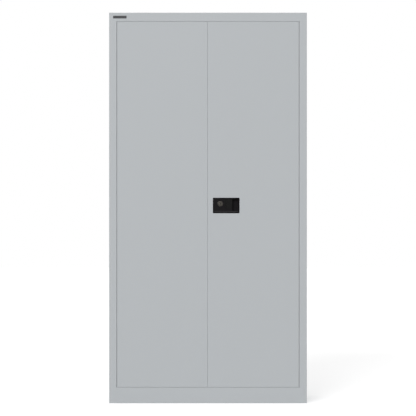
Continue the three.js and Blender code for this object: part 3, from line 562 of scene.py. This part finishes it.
class Coating(Wiring):
    """One material, whose patterns follow the piece's own coordinates."""

    def __init__(self, name, metallic=0.0, specular=0.5):
        self.material = bpy.data.materials.new(name)
        self.material.use_nodes = True
        super().__init__(self.material.node_tree)
        self.shader = self.tree.nodes["Principled BSDF"]
        self.shader.inputs["Metallic"].default_value = metallic
        self.shader.inputs["Specular IOR Level"].default_value = specular
        self.place = self.add("ShaderNodeTexCoord").outputs["Object"]

    def noise(self, scale, detail=2.0, place=None):
        inputs = {"Vector": place or self.place, "Scale": scale, "Detail": detail}
        return self.add("ShaderNodeTexNoise", inputs).outputs[0]

    def patches(self, scale, low, high, detail=2.0):
        """A value that drifts from low to high over the surface."""
        return self.spread(self.noise(scale, detail), low, high, *NOISE_RANGE)

    def drift(self, scale, tone, darkest, lightest, detail=2.0):
        """The tone, made darker and lighter by these factors over the surface."""
        return self.mix(self.noise(scale, detail), shaded(tone, darkest), shaded(tone, lightest))

    def bump(self, height, strength, distance, under=None):
        inputs = {"Height": height, "Strength": strength, "Distance": distance}
        if under:
            inputs["Normal"] = under
        return self.add("ShaderNodeBump", inputs).outputs[0]

    def finish(self, tone, rough, normal):
        self.feed(self.shader.inputs["Base Color"], tone)
        self.feed(self.shader.inputs["Roughness"], rough)
        self.feed(self.shader.inputs["Normal"], normal)
        return self.material


def shaded(tone, factor):
    return (*(min(1.0, part * factor) for part in tone), 1.0)


def weld_marks(coat, across, up, pitch, radius):
    """Shallow round marks on the line where across is zero, a pitch apart up the cupboard."""
    step = coat.math("PINGPONG", up, pitch / 2)
    squares = (coat.math("POWER", part, 2.0) for part in (across, step))
    reach = coat.math("SQRT", coat.math("ADD", *squares))
    return coat.spread(reach, 1.0, 0.0, radius * 0.6, radius)


def spot_welds(coat):
    """The marks on the back's two edges and on the sides, where the uprights are welded."""
    x, y, z = coat.add("ShaderNodeSeparateXYZ", {0: coat.place}).outputs
    out = coat.math("ABSOLUTE", x)
    rear = weld_marks(coat, coat.math("SUBTRACT", out, BACK_WELD_ROW), z, **BACK_WELDS)
    rows = [weld_marks(coat, coat.math("SUBTRACT", y, row), z, **SIDE_WELDS) for row in SIDE_WELD_ROWS]
    side = rows[0]
    for marks in rows[1:]:
        side = coat.math("MAXIMUM", side, marks)
    on_back = coat.math("MULTIPLY", coat.math("GREATER_THAN", y, BACK_BEGINS), rear)
    on_sides = coat.math("MULTIPLY", coat.math("GREATER_THAN", out, SIDES_BEGIN), side)
    return coat.math("ADD", on_back, on_sides)


def paint_finish(name, paint):
    """Satin powder coat: a fine orange peel, a slight drift in tone, and faint weld marks."""
    coat = Coating(name)
    tone = coat.drift(3.0, paint, darkest=0.985, lightest=1.015)
    speckled = coat.mix(coat.noise(1400.0, detail=1.0), shaded(paint, 0.96), tone)
    rough = coat.patches(60.0, low=0.4, high=0.5, detail=3.0)
    dished = coat.bump(coat.math("MULTIPLY", spot_welds(coat), -1.0), strength=0.35, distance=0.0002)
    peel = coat.bump(coat.noise(330.0), strength=0.06, distance=0.0004, under=dished)
    return coat.finish(speckled, rough, peel)


def plastic_finish(name, tone, grain, rough, specular):
    """Moulded plastic with a spark-eroded grain."""
    coat = Coating(name, specular=specular)
    drift = coat.drift(90.0, tone, darkest=0.9, lightest=1.12)
    gloss = coat.patches(240.0, low=rough - 0.05, high=rough + 0.05, detail=3.0)
    pits = coat.add("ShaderNodeTexVoronoi", {"Vector": coat.place, "Scale": grain}).outputs[0]
    pitted = coat.bump(pits, strength=0.12, distance=0.00012)
    grained = coat.bump(coat.noise(grain * 1.7), strength=0.15, distance=0.0001, under=pitted)
    return coat.finish(drift, gloss, grained)


def zinc_finish(name, zinc):
    """Bright zinc plate with a soft crystal bloom and faint rolling lines."""
    coat = Coating(name, metallic=1.0)
    crystals = {"Vector": coat.place, "Scale": 420.0}
    cells = coat.add("ShaderNodeTexVoronoi", crystals, distance="CHEBYCHEV").outputs[0]
    bloom = coat.drift(30.0, zinc, darkest=0.82, lightest=1.05, detail=4.0)
    bluish = (0.5, 0.53, 0.57, 1.0)
    tone = coat.mix(coat.spread(cells, 0.0, 0.25, end=0.8), bloom, bluish)
    rough = coat.patches(160.0, low=0.32, high=0.5, detail=4.0)
    drawn_out = coat.add("ShaderNodeMapping", {0: coat.place, "Scale": (900.0, 900.0, 25.0)}).outputs[0]
    lines = coat.noise(1.0, detail=3.0, place=drawn_out)
    return coat.finish(tone, rough, coat.bump(lines, strength=0.08, distance=0.0001))


def nickel_finish(name, nickel):
    """Nickel plate with the fine rings that the lathe leaves on the lock's face, painted shade in its sunken
    groove, and a painted highlight that makes the outer ring lighter than the plug.
    """
    coat = Coating(name, metallic=1.0)
    centred = coat.add("ShaderNodeMapping", {0: coat.place, "Location": -BARREL_CENTRE}).outputs[0]
    wave = {"Vector": centred, "Scale": 380.0, "Distortion": 0.4, "Detail": 2.0}
    rings = coat.add("ShaderNodeTexWave", wave, wave_type="RINGS", rings_direction="Y").outputs[1]
    x, _, z = coat.add("ShaderNodeSeparateXYZ", {0: centred}).outputs
    squares = (coat.math("MULTIPLY", part, part) for part in (x, z))
    reach = coat.math("SQRT", coat.math("ADD", *squares))
    # Painted highlight: the outer ring is lighter than the plug. Painted shade: the sunken groove is nearly
    # black.
    rim = coat.spread(reach, 0.0, 1.0, *RIM_HIGHLIGHT_FADE)
    groove = coat.math("MULTIPLY", coat.spread(reach, 0.0, 1.0, *GROOVE_SHADE_FADE), coat.spread(rim, 1.0, 0.0))
    bright = coat.drift(220.0, nickel, darkest=0.95, lightest=1.08, detail=3.0)
    face = coat.mix(rim, shaded(nickel, 0.85), bright)
    tone = coat.mix(groove, face, shaded(nickel, 0.12))
    rough = coat.patches(500.0, low=0.22, high=0.3, detail=3.0)
    return coat.finish(tone, rough, coat.bump(rings, strength=0.06, distance=0.00006))


def soft_finish(name, tone, grain, rough, specular):
    """Matt moulded nylon or rubber."""
    coat = Coating(name, specular=specular)
    drift = coat.drift(140.0, tone, darkest=0.93, lightest=1.05, detail=3.0)
    gloss = coat.patches(300.0, low=rough - 0.06, high=rough + 0.04)
    return coat.finish(drift, gloss, coat.bump(coat.noise(grain, detail=3.0), strength=0.12, distance=0.0001))


def finish(name):
    """The material of a finish, made on its first use."""
    scene = bpy.context.scene
    tones = scene.cupboard_finishes
    # Each maker with its material's name and tone, and a moulding's grain, roughness and specular level
    makers = {
        "paint": (paint_finish, "powder_coat", tones.paint),
        "black_plastic": (plastic_finish, "handle_plastic", tones.plastic, 1900.0, 0.36, 0.13),
        "grip_plastic": (plastic_finish, "grip_plastic", tones.grip, 2600.0, 0.34, 0.14),
        "slope_plastic": (plastic_finish, "slope_plastic", tones.plastic, 1900.0, 0.42, 0.04),
        "badge_plastic": (plastic_finish, "badge_plastic", tones.badge, 2600.0, 0.42, 0.2),
        "nickel": (nickel_finish, "nickel_plate", tones.nickel),
        "zinc": (zinc_finish, "zinc_plate", tones.zinc),
        "nylon": (soft_finish, "nylon", tones.nylon, 900.0, 0.5, 0.4),
        "rubber": (soft_finish, "rubber", tones.rubber, 1300.0, 0.8, 0.3),
    }
    key = f"finish_{name}"
    if scene.get(key) is None:
        maker, *inputs = makers[name]
        scene[key] = maker(*inputs)
    return scene[key]


# The pieces


class CUPBOARD_OT_carcass(Operator):
    """Makes the folded sides, top, base and back, and the strike plates"""

    bl_idname = "cupboard.carcass"
    bl_label = "Carcass"

    def execute(self, context):
        for name in ("top_panel", "base_panel", "back_panel", "side_panel_left", "side_panel_right"):
            sheet_copies((f"{name}_sheet", name))
        edge = context.scene.cupboard_edges.plate
        for level in LEVELS:
            hard_copies("zinc", edge, (f"strike_plate_{level}", f"{level}_strike_plate"))
        return {"FINISHED"}


class CUPBOARD_OT_doors(Operator):
    """Makes the two door trays, their stiffeners and the closing strip"""

    bl_idname = "cupboard.doors"
    bl_label = "Doors"

    def tray(self, side, sheet):
        """The door's sheet: a face with folded edges, and a lip turned in behind them."""
        low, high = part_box(f"{side}_door_skin")
        left, right = sheet.hinge_reach, sheet.free_reach
        if side == "right":
            left, right = right, left
        low -= Vector((left, 0, sheet.bottom_reach))
        high += Vector((right, 0, sheet.top_reach))
        tray = add_block(f"door_tray_{side}", low, high)
        pick(tray, "FACE", faces_rear)
        inset(sheet.door_lip)
        bpy.ops.mesh.delete(type="FACE")
        pick(tray, "EDGE", lambda edge: not edge.is_boundary and not self.mitre(edge, high))
        round_off(sheet.fold_radius, sheet.fold_segments)
        modify(tray, "SOLIDIFY", thickness=sheet.thickness, offset=-1, use_even_offset=True)
        return tray

    def mitre(self, edge, high):
        """Whether the edge runs from a back corner of the tray to the lip's inner corner."""
        return all(near(end.co.y, high.y) for end in edge.verts) and not (along(edge, 0) or along(edge, 2))

    def hinge_notches(self, side, sheet):
        """Cutters for the openings where the hinge arms pass the tray's edge."""
        low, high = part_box(f"{side}_door_skin")
        sign = -1 if side == "left" else 1
        edge = low.x if side == "left" else high.x
        inner, outer = edge - sign * (sheet.door_lip + OVERRUN), edge + sign * OVERRUN
        for number in HINGES:
            arm_low, arm_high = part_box(f"hinge_arm_{side}_{number}")
            height = (arm_low.z + arm_high.z) / 2
            yield add_block(
                "notch_cutter",
                (min(inner, outer), low.y + sheet.notch_setback, height - sheet.notch_half),
                (max(inner, outer), high.y + OVERRUN, height + sheet.notch_half),
            )

    def handle_openings(self, sheet):
        """Cutters for the handle's cut-out and for the rods' holes in the right tray."""
        low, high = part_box("right_door_skin")
        inset_by = sheet.cutout_inset
        yield add_block(
            "handle_cutter",
            (HOUSING_LOW.x + inset_by, low.y - OVERRUN, HOUSING_LOW.z + inset_by),
            (HOUSING_HIGH.x - inset_by, low.y + OVERRUN, HOUSING_HIGH.z - inset_by),
        )
        margin = sheet.rod_hole_margin
        for level, end in (("upper", high.z), ("lower", low.z)):
            rod_low, rod_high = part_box(f"{level}_rod")
            yield add_block(
                "rod_cutter",
                (rod_low.x - margin, rod_low.y - margin, end - OVERRUN),
                (rod_high.x + margin, rod_high.y + margin, end + OVERRUN),
            )

    def execute(self, context):
        sheet = context.scene.cupboard_sheet
        for side in SIDES:
            tray = self.tray(side, sheet)
            carve(tray, *self.hinge_notches(side, sheet))
            if side == "right":
                carve(tray, *self.handle_openings(sheet))
            shade(tray, 40)
            hand_over(tray, "paint", f"{side}_door_skin")
            sheet_copies((f"door_stiffener_{side}", f"{side}_door_stiffener"))
        sheet_copies(("closing_strip_angle", "closing_strip"))
        return {"FINISHED"}


class CUPBOARD_OT_hinges(Operator):
    """Makes the concealed hinges: an arm with its pin on the frame, and a clevis in the door"""

    bl_idname = "cupboard.hinges"
    bl_label = "Hinges"

    def rivets(self, side, sizes):
        """Domed rivet heads that hold the first clevis of a side to the door."""
        low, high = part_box(f"hinge_clevis_{side}_1")
        across = high.x - sizes.rivet_inset if side == "left" else low.x + sizes.rivet_inset
        web = low.y + sizes.web
        crown = web + sizes.rivet_height
        for height in (low.z + sizes.rivet_inset, (low.z + high.z) / 2, high.z - sizes.rivet_inset):
            foot = web - sizes.web / 2
            head = add_drum("rivet_head", (across, height), sizes.rivet_radius, foot, crown, sides=24)
            pick(head, "EDGE", lambda edge: near(middle(edge).y, crown))
            round_off(sizes.rivet_dome, 3)
            bpy.ops.object.mode_set(mode="OBJECT")
            yield head

    def execute(self, context):
        edges = context.scene.cupboard_edges
        for side in SIDES:
            ends = [f"{side}_{number}" for number in HINGES]
            hard_copies("zinc", edges.arm, *((f"hinge_arm_{end}_plate", f"hinge_arm_{end}") for end in ends))
            hard_copies(
                "zinc",
                edges.plate,
                *((f"hinge_clevis_{end}_plate", f"hinge_clevis_{end}") for end in ends),
                heads=list(self.rivets(side, context.scene.cupboard_hinge)),
            )
        return {"FINISHED"}


class HandlePlaces:
    """Where the forms of the handle's moulding begin and end on the cupboard."""

    def __init__(self, sizes):
        self.low, self.high = HOUSING_LOW, HOUSING_HIGH
        self.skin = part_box("right_door_skin")[0].y
        self.field = self.low.y + sizes.field_depth
        self.block_back = self.skin + sizes.block_depth
        self.body_left = self.low.x + sizes.body_inset
        self.body_right = self.high.x - sizes.body_inset
        self.body_bottom = self.low.z + sizes.body_inset
        self.body_top = self.high.z - sizes.body_inset
        self.grip_left = self.low.x + sizes.grip_left
        self.grip_right = self.grip_left + sizes.grip_width
        self.mouth_right = self.grip_right + sizes.mouth_width
        self.pocket_left = self.grip_right - sizes.undercut
        self.block_right = self.pocket_left - sizes.wall
        self.top = self.high.z - sizes.top_margin
        self.grip_bottom = self.top - sizes.grip_height
        self.mouth_bottom = self.top - sizes.mouth_height
        self.groove_left = self.grip_left + sizes.groove_left
        self.groove_right = self.groove_left + sizes.groove_width


class CUPBOARD_OT_handle(Operator):
    """Makes the flush handle with its lock field, grip bar and finger pocket, and its clamp plate"""

    bl_idname = "cupboard.handle"
    bl_label = "Handle"

    def border(self, housing, sizes, at):
        """The sloped border round the sunken lock field, with its wider ledge along the bottom."""
        pick(housing, "FACE", faces_front)
        inset(sizes.slope)
        slide(y=sizes.face_shy - sizes.slope_rise)
        inset(sizes.border)
        inset(sizes.chamfer)
        slide(y=sizes.field_depth - sizes.face_shy)
        half = (at.low.z + at.high.z) / 2
        pick(housing, "EDGE", lambda e: along(e, 0) and near(middle(e).y, at.field) and middle(e).z < half)
        slide(z=sizes.ledge)

    def body(self, housing, sizes, at):
        """The body behind the door: a shallow block for the lock, and a deep, ribbed one for the fingers."""
        bottom, top = at.body_bottom, at.body_top

        def behind(left, right, depth):
            """A test for rear faces of the body at this depth, between these two sides."""
            return lambda f: faces_rear(f) and at_depth(f, depth) and framed(f, left, right, bottom, top)

        pick(housing, "FACE", faces_rear)
        inset(sizes.body_inset)
        score(housing, behind(at.body_left, at.body_right, at.skin), 0, at.block_right)
        pick(housing, "FACE", behind(at.body_left, at.body_right, at.skin))
        extrude(y=sizes.block_depth)
        pick(housing, "FACE", behind(at.block_right, at.body_right, at.block_back))
        extrude(y=at.high.y - at.block_back)
        inset(sizes.rib)
        bpy.ops.mesh.subdivide(number_cuts=2)
        inset(sizes.rib / 2, each=True)
        slide(y=-sizes.rib_height)
        pick(
            housing,
            "EDGE",
            lambda e: near(middle(e).y, at.high.y)
            and (near(middle(e).x, at.block_right, at.body_right) or near(middle(e).z, bottom, top)),
        )
        round_off(sizes.body_round, 3)
        pick(housing, "FACE", behind(at.body_left, at.block_right, at.block_back))
        inset(sizes.wall)
        extrude(y=at.field + sizes.field_thickness - at.block_back)

    def grip(self, housing, sizes, at):
        """The finger pocket with its mouth, and the grip bar with its groove."""
        mouth = at.grip_right, at.mouth_right, at.mouth_bottom, at.top
        bar = at.grip_left, at.grip_right, at.grip_bottom, at.top
        groove = at.groove_left, at.groove_right, at.grip_bottom, at.top

        def on_field(face):
            return faces_front(face) and at_depth(face, at.field)

        def on_bar(face):
            return faces_front(face) and at_depth(face, at.field - sizes.grip_proud) and framed(face, *bar)

        score(housing, on_field, 0, at.grip_left, at.grip_right, at.mouth_right)
        score(housing, on_field, 2, at.top, at.grip_bottom, at.mouth_bottom)
        pick(housing, "FACE", lambda f: on_field(f) and framed(f, *mouth))
        extrude(y=sizes.grip_thickness)
        back_of_bar = at.field + sizes.grip_thickness
        extrude(y=at.high.y - sizes.wall - back_of_bar)
        pick(
            housing,
            "FACE",
            lambda f: f.normal.x > 0.9
            and near(f.calc_center_median().x, at.grip_right)
            and f.calc_center_median().y > back_of_bar,
        )
        extrude(x=at.pocket_left - at.grip_right)
        pick(housing, "FACE", lambda f: on_field(f) and framed(f, *bar))
        extrude(y=-sizes.grip_proud)
        score(housing, on_bar, 0, at.groove_left, at.groove_right)
        pick(housing, "FACE", lambda f: on_bar(f) and framed(f, *groove))
        extrude(y=sizes.groove_depth)

    def rounds(self, housing, sizes, at):
        """Rounds on the border's outer corners and on the edge that the fingers pull on."""
        low, high = at.low, at.high
        pick(
            housing,
            "EDGE",
            lambda e: along(e, 1) and near(middle(e).x, low.x, high.x) and near(middle(e).z, low.z, high.z),
        )
        round_off(sizes.corner, 6)
        pick(
            housing,
            "EDGE",
            lambda e: along(e, 2)
            and near(middle(e).x, at.grip_right)
            and at.grip_bottom < middle(e).z < at.top
            and middle(e).y < at.field + sizes.grip_proud,
        )
        round_off(sizes.grip_round, 4)
        bpy.ops.object.mode_set(mode="OBJECT")

    def lugs(self, sizes, at):
        """Lugs above and below the body, which reach over the clamp plate."""
        for left in (at.body_left + sizes.lug_inset, at.body_right - sizes.lug_inset - sizes.lug_width):
            for bottom, top in (
                (at.body_top - sizes.wall / 2, at.body_top + sizes.lug_proud),
                (at.body_bottom - sizes.lug_proud, at.body_bottom + sizes.wall / 2),
            ):
                yield add_block(
                    "lug",
                    (left, at.skin + sizes.lug_front, bottom),
                    (left + sizes.lug_width, at.block_back - sizes.lug_short, top),
                )

    def lock_seat(self, housing, sizes, at):
        """The boss behind the lock field, and the bore through it for the lock barrel."""
        boss_ends = at.field + sizes.boss_setback, BARREL_HIGH.y - sizes.boss_short
        boss = add_drum("boss", BARREL_CENTRE.xz, BARREL_RADIUS + sizes.boss_wall, *boss_ends)
        carve(housing, boss, operation="UNION")
        bore_ends = at.low.y - OVERRUN, at.high.y + OVERRUN
        carve(housing, add_drum("bore", BARREL_CENTRE.xz, BARREL_RADIUS + sizes.bore_play, *bore_ends))

    def smoother_parts(self, housing, sizes, at):
        """Other finishes on the grip bar and on the border's slope."""
        housing.data.materials.append(finish("grip_plastic"))
        housing.data.materials.append(finish("slope_plastic"))
        for polygon in housing.data.polygons:
            x, y, z = polygon.center
            beside_bar = max(at.grip_left - x, x - at.grip_right, at.grip_bottom - z, z - at.top)
            from_edge = min(x - at.low.x, at.high.x - x, z - at.low.z, at.high.z - z)
            if beside_bar < SLACK and y < at.field + sizes.groove_depth:
                polygon.material_index = 1
            elif from_edge < sizes.slope and y < at.skin:
                polygon.material_index = 2

    def collar(self, sizes, edge, at):
        """The raised ring round the lock."""
        front = at.field - sizes.collar_proud
        collar = add_drum("lock_collar", BARREL_CENTRE.xz, sizes.collar_radius, front, at.field, sides=64)
        pick(collar, "FACE", lambda f: faces_front(f) or faces_rear(f))
        inset(sizes.collar_radius - BARREL_RADIUS - sizes.collar_play)
        bpy.ops.mesh.bridge_edge_loops()
        soften(collar, edge, 3)
        shade(collar)
        hand_over(collar, "black_plastic", body="right_door")

    def execute(self, context):
        sizes = context.scene.cupboard_handle
        edges = context.scene.cupboard_edges
        at = HandlePlaces(sizes)
        foot = at.low.y + sizes.slope_rise
        housing = add_block("handle_moulding", (at.low.x, foot, at.low.z), (at.high.x, at.skin, at.high.z))
        self.border(housing, sizes, at)
        self.body(housing, sizes, at)
        self.grip(housing, sizes, at)
        self.rounds(housing, sizes, at)
        carve(housing, *self.lugs(sizes, at), operation="UNION")
        self.lock_seat(housing, sizes, at)
        soften(housing, edges.handle)
        shade(housing, 40)
        hand_over(housing, "black_plastic", "handle_housing")
        self.smoother_parts(housing, sizes, at)
        self.collar(sizes, edges.collar, at)
        hard_copies("zinc", edges.plate, ("handle_clamp_ring", "handle_clamp_plate"))
        return {"FINISHED"}


class CUPBOARD_OT_lock(Operator):
    """Makes the lock barrel with its keyway, the cam, the rods and their guides"""

    bl_idname = "cupboard.lock"
    bl_label = "Lock"

    def rings(self, barrel, sizes):
        """The outer ring, the groove and the plug on the barrel's front."""
        pick(barrel, "FACE", faces_front)
        inset(sizes.rim)
        inset(sizes.step)
        slide(y=sizes.groove_depth)
        inset(sizes.groove)
        inset(sizes.step)
        slide(y=-sizes.plug_rise)
        pick(
            barrel,
            "EDGE",
            lambda e: near(middle(e).y, BARREL_LOW.y)
            and near((middle(e) - BARREL_CENTRE).xz.length, BARREL_RADIUS, slack=SLACK),
        )
        round_off(sizes.edge_round, 3)

    def keyway(self, sizes):
        """Cutters for the keyway and its warding, which end at different depths."""
        centre, front = BARREL_CENTRE, BARREL_LOW.y
        half_width, half_height = sizes.keyway_width / 2, sizes.keyway_height / 2
        yield add_block(
            "keyway",
            (centre.x - half_width, front - OVERRUN, centre.z - half_height),
            (centre.x + half_width, front + sizes.keyway_depth, centre.z + half_height),
        )
        yield add_block(
            "warding",
            (centre.x - sizes.warding_left, front - OVERRUN, centre.z - sizes.warding_bottom),
            (centre.x - sizes.warding_right, front + sizes.warding_depth, centre.z + sizes.warding_top),
        )

    # Paints the keyway's inside black as painted shade: the slot is dark only because little light reaches
    # into it
    def paint_keyway_shade(self, barrel, sizes):
        barrel.data.materials.append(finish("black_plastic"))
        for polygon in barrel.data.polygons:
            out = (polygon.center - BARREL_CENTRE).xz.length
            depth = polygon.center.y - BARREL_LOW.y
            if out < sizes.painted_shade_radius and sizes.painted_shade_setback < depth < sizes.keyway_depth + SLACK:
                polygon.material_index = 1

    def execute(self, context):
        sizes = context.scene.cupboard_lock
        edges = context.scene.cupboard_edges
        barrel = add_drum("lock_face", BARREL_CENTRE.xz, BARREL_RADIUS, BARREL_LOW.y, BARREL_HIGH.y, sides=64)
        self.rings(barrel, sizes)
        carve(barrel, *self.keyway(sizes))
        soften(barrel, edges.barrel)
        shade(barrel, 35)
        hand_over(barrel, "nickel", "lock_barrel")
        self.paint_keyway_shade(barrel, sizes)
        hard_copies("zinc", edges.plate, ("lock_cam_plate", "lock_cam"))
        for level in LEVELS:
            hard_copies("zinc", edges.rod, (f"lock_rod_{level}", f"{level}_rod"))
            ends = [f"{level}_{number}" for number in GUIDES]
            guides = ((f"rod_guide_block_{end}", f"rod_guide_{end}") for end in ends)
            hard_copies("nylon", edges.guide, *guides, segments=3)
        return {"FINISHED"}


class CUPBOARD_OT_shelving(Operator):
    """Makes the shelves, the slotted uprights and the shelf clips"""

    bl_idname = "cupboard.shelving"
    bl_label = "Shelving"

    def execute(self, context):
        edge = context.scene.cupboard_edges.arm
        sheet_copies(*((f"shelf_tray_{level}", f"shelf_{level}") for level in SHELVES))
        for side in SIDES:
            for row in ROWS:
                post = f"{side}_{row}"
                sheet_copies((f"slotted_upright_{post}", f"shelf_upright_{post}"))
                clips = ((f"shelf_hook_{level}_{post}", f"shelf_clip_{level}_{post}") for level in SHELVES)
                hard_copies("zinc", edge, *clips)
        return {"FINISHED"}


class CUPBOARD_OT_trims(Operator):
    """Makes the bare badge plate and the rubber door buffers"""

    bl_idname = "cupboard.trims"
    bl_label = "Trims"

    def badge(self, sizes, edge):
        plate = add_block("badge_plate_bare", *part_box("badge_plate"))
        pick(plate, "EDGE", lambda e: along(e, 1))
        round_off(sizes.badge_corner, 5)
        pick(plate, "FACE", faces_front)
        inset(sizes.badge_rim)
        inset(sizes.badge_slope)
        slide(y=sizes.badge_sink)
        soften(plate, edge)
        shade(plate)
        hand_over(plate, "black_plastic", "badge_plate", made_of="badge_plastic")

    def buffers(self, sizes, edge):
        ends = [f"{side}_{level}" for side in SIDES for level in ("top", "bottom")]
        places = [(f"buffer_{end}", f"door_buffer_{end}") for end in ends]
        low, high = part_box(places[0][1])
        buffer = add_drum(places[0][0], ((low + high) / 2).xz, (high.x - low.x) / 2, low.y, high.y, sides=40)
        pick(buffer, "FACE", faces_front)
        inset(sizes.buffer_rim)
        inset(sizes.buffer_slope)
        slide(y=sizes.buffer_sink)
        soften(buffer, edge, 3)
        shade(buffer)
        set_out(buffer, "rubber", places)

    def execute(self, context):
        sizes = context.scene.cupboard_trims
        edges = context.scene.cupboard_edges
        self.badge(sizes, edges.badge)
        self.buffers(sizes, edges.buffer)
        return {"FINISHED"}


class CUPBOARD_OT_stage(Operator):
    """Sets up the camera, the lamp, the even light and the pale floor"""

    bl_idname = "cupboard.stage"
    bl_label = "Stage"

    def camera(self, scene, stage):
        low, high = cad_bounds
        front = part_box("right_door_skin")[0].y
        bpy.ops.object.camera_add(
            location=(0, front - stage.distance, (low[2] + high[2]) / 2), rotation=(pi / 2, 0, 0)
        )
        camera = bpy.context.object
        camera.name = "camera"
        camera.data.sensor_width = 36.0
        camera.data.lens = camera.data.sensor_width * stage.distance / stage.view_width
        camera.data.clip_end = 200.0
        scene.camera = camera

    def floor(self, stage):
        """A pale floor, which the camera sees brighter, and what shines sees darker, than it is."""
        bpy.ops.mesh.primitive_plane_add(size=stage.floor_size, location=(0, 0, 0))
        floor = bpy.context.object
        floor.name = "floor"
        coat = Coating("studio_floor", specular=0.0)
        coat.shader.inputs["Roughness"].default_value = 1.0
        path = coat.add("ShaderNodeLightPath").outputs
        seen = path["Is Camera Ray"]
        white = (1.0, 1.0, 1.0)
        pale = coat.drift(1.5, white, darkest=0.88, lightest=0.91)
        pale = coat.mix(path["Is Glossy Ray"], pale, shaded(white, 0.2))
        coat.feed(coat.shader.inputs["Base Color"], coat.mix(seen, pale, shaded(white, 1.0)))
        coat.feed(coat.shader.inputs["Emission Color"], shaded(white, 1.0))
        coat.feed(coat.shader.inputs["Emission Strength"], coat.math("MULTIPLY", seen, stage.floor_lift))
        floor.data.materials.append(coat.material)

    def even_light(self, scene, stage):
        """A white sky that is even on what it lights, and brighter above in what shines."""
        world = bpy.data.worlds.new("even_light")
        world.use_nodes = True
        sky = Wiring(world.node_tree)
        path = sky.add("ShaderNodeLightPath").outputs
        mirrored = sky.math("MAXIMUM", path["Is Glossy Ray"], path["Is Transmission Ray"])
        direction = sky.add("ShaderNodeTexCoord").outputs["Generated"]
        toward = sky.add("ShaderNodeVectorMath", {0: direction, 1: stage.glow_from}, operation="DOT_PRODUCT")
        glow = sky.spread(toward.outputs["Value"], stage.glow_low, stage.glow_high, *GLOW_FADE)
        lit = sky.spread(mirrored, stage.sky, glow)
        background = sky.tree.nodes["Background"]
        background.inputs["Color"].default_value = (1.0, 1.0, 1.0, 1.0)
        sky.feed(background.inputs["Strength"], sky.spread(path["Is Camera Ray"], lit, 1.0))
        scene.world = world

    def key_lamp(self, stage):
        bpy.ops.object.light_add(type="SUN", location=(-2, -4, 4))
        sun = bpy.context.object
        sun.name = "key_lamp"
        sun.rotation_euler = Vector(stage.key_along).to_track_quat("-Z", "Y").to_euler()
        sun.data.angle = stage.key_angle
        sun.data.energy = stage.key

    def execute(self, context):
        deselect()
        stage = context.scene.cupboard_stage
        self.camera(context.scene, stage)
        self.floor(stage)
        self.even_light(context.scene, stage)
        self.key_lamp(stage)
        context.scene.view_settings.view_transform = "Standard"
        return {"FINISHED"}


class CUPBOARD_PT_panel(Panel):
    """Lists the sizes and the steps that dress the cupboard"""

    bl_idname = "CUPBOARD_PT_panel"
    bl_label = "Double Door Cupboard"
    bl_space_type = "VIEW_3D"
    bl_region_type = "UI"
    bl_category = "Cupboard"

    def draw(self, context):
        for group in GROUPS:
            settings = getattr(context.scene, group)
            box = self.layout.box()
            box.label(text=group.removeprefix("cupboard_").title())
            for name in settings.__annotations__:
                box.prop(settings, name)
        for step in STEPS:
            self.layout.operator(step.bl_idname)


GROUPS = {
    "cupboard_finishes": CupboardFinishes,
    "cupboard_sheet": CupboardSheet,
    "cupboard_edges": CupboardEdges,
    "cupboard_hinge": CupboardHinge,
    "cupboard_handle": CupboardHandle,
    "cupboard_lock": CupboardLock,
    "cupboard_trims": CupboardTrims,
    "cupboard_stage": CupboardStage,
}
STEPS = (
    CUPBOARD_OT_stage,
    CUPBOARD_OT_carcass,
    CUPBOARD_OT_doors,
    CUPBOARD_OT_hinges,
    CUPBOARD_OT_handle,
    CUPBOARD_OT_lock,
    CUPBOARD_OT_shelving,
    CUPBOARD_OT_trims,
)


def register():
    for name, group in GROUPS.items():
        bpy.utils.register_class(group)
        setattr(bpy.types.Scene, name, PointerProperty(type=group))
    for step in (*STEPS, CUPBOARD_PT_panel):
        bpy.utils.register_class(step)


def unregister():
    for step in (*STEPS, CUPBOARD_PT_panel):
        bpy.utils.unregister_class(step)
    for name, group in GROUPS.items():
        delattr(bpy.types.Scene, name)
        bpy.utils.unregister_class(group)


def main():
    register()
    for step in STEPS:
        area, name = step.bl_idname.split(".")
        getattr(getattr(bpy.ops, area), name)()


if __name__ == "__main__":
    main()
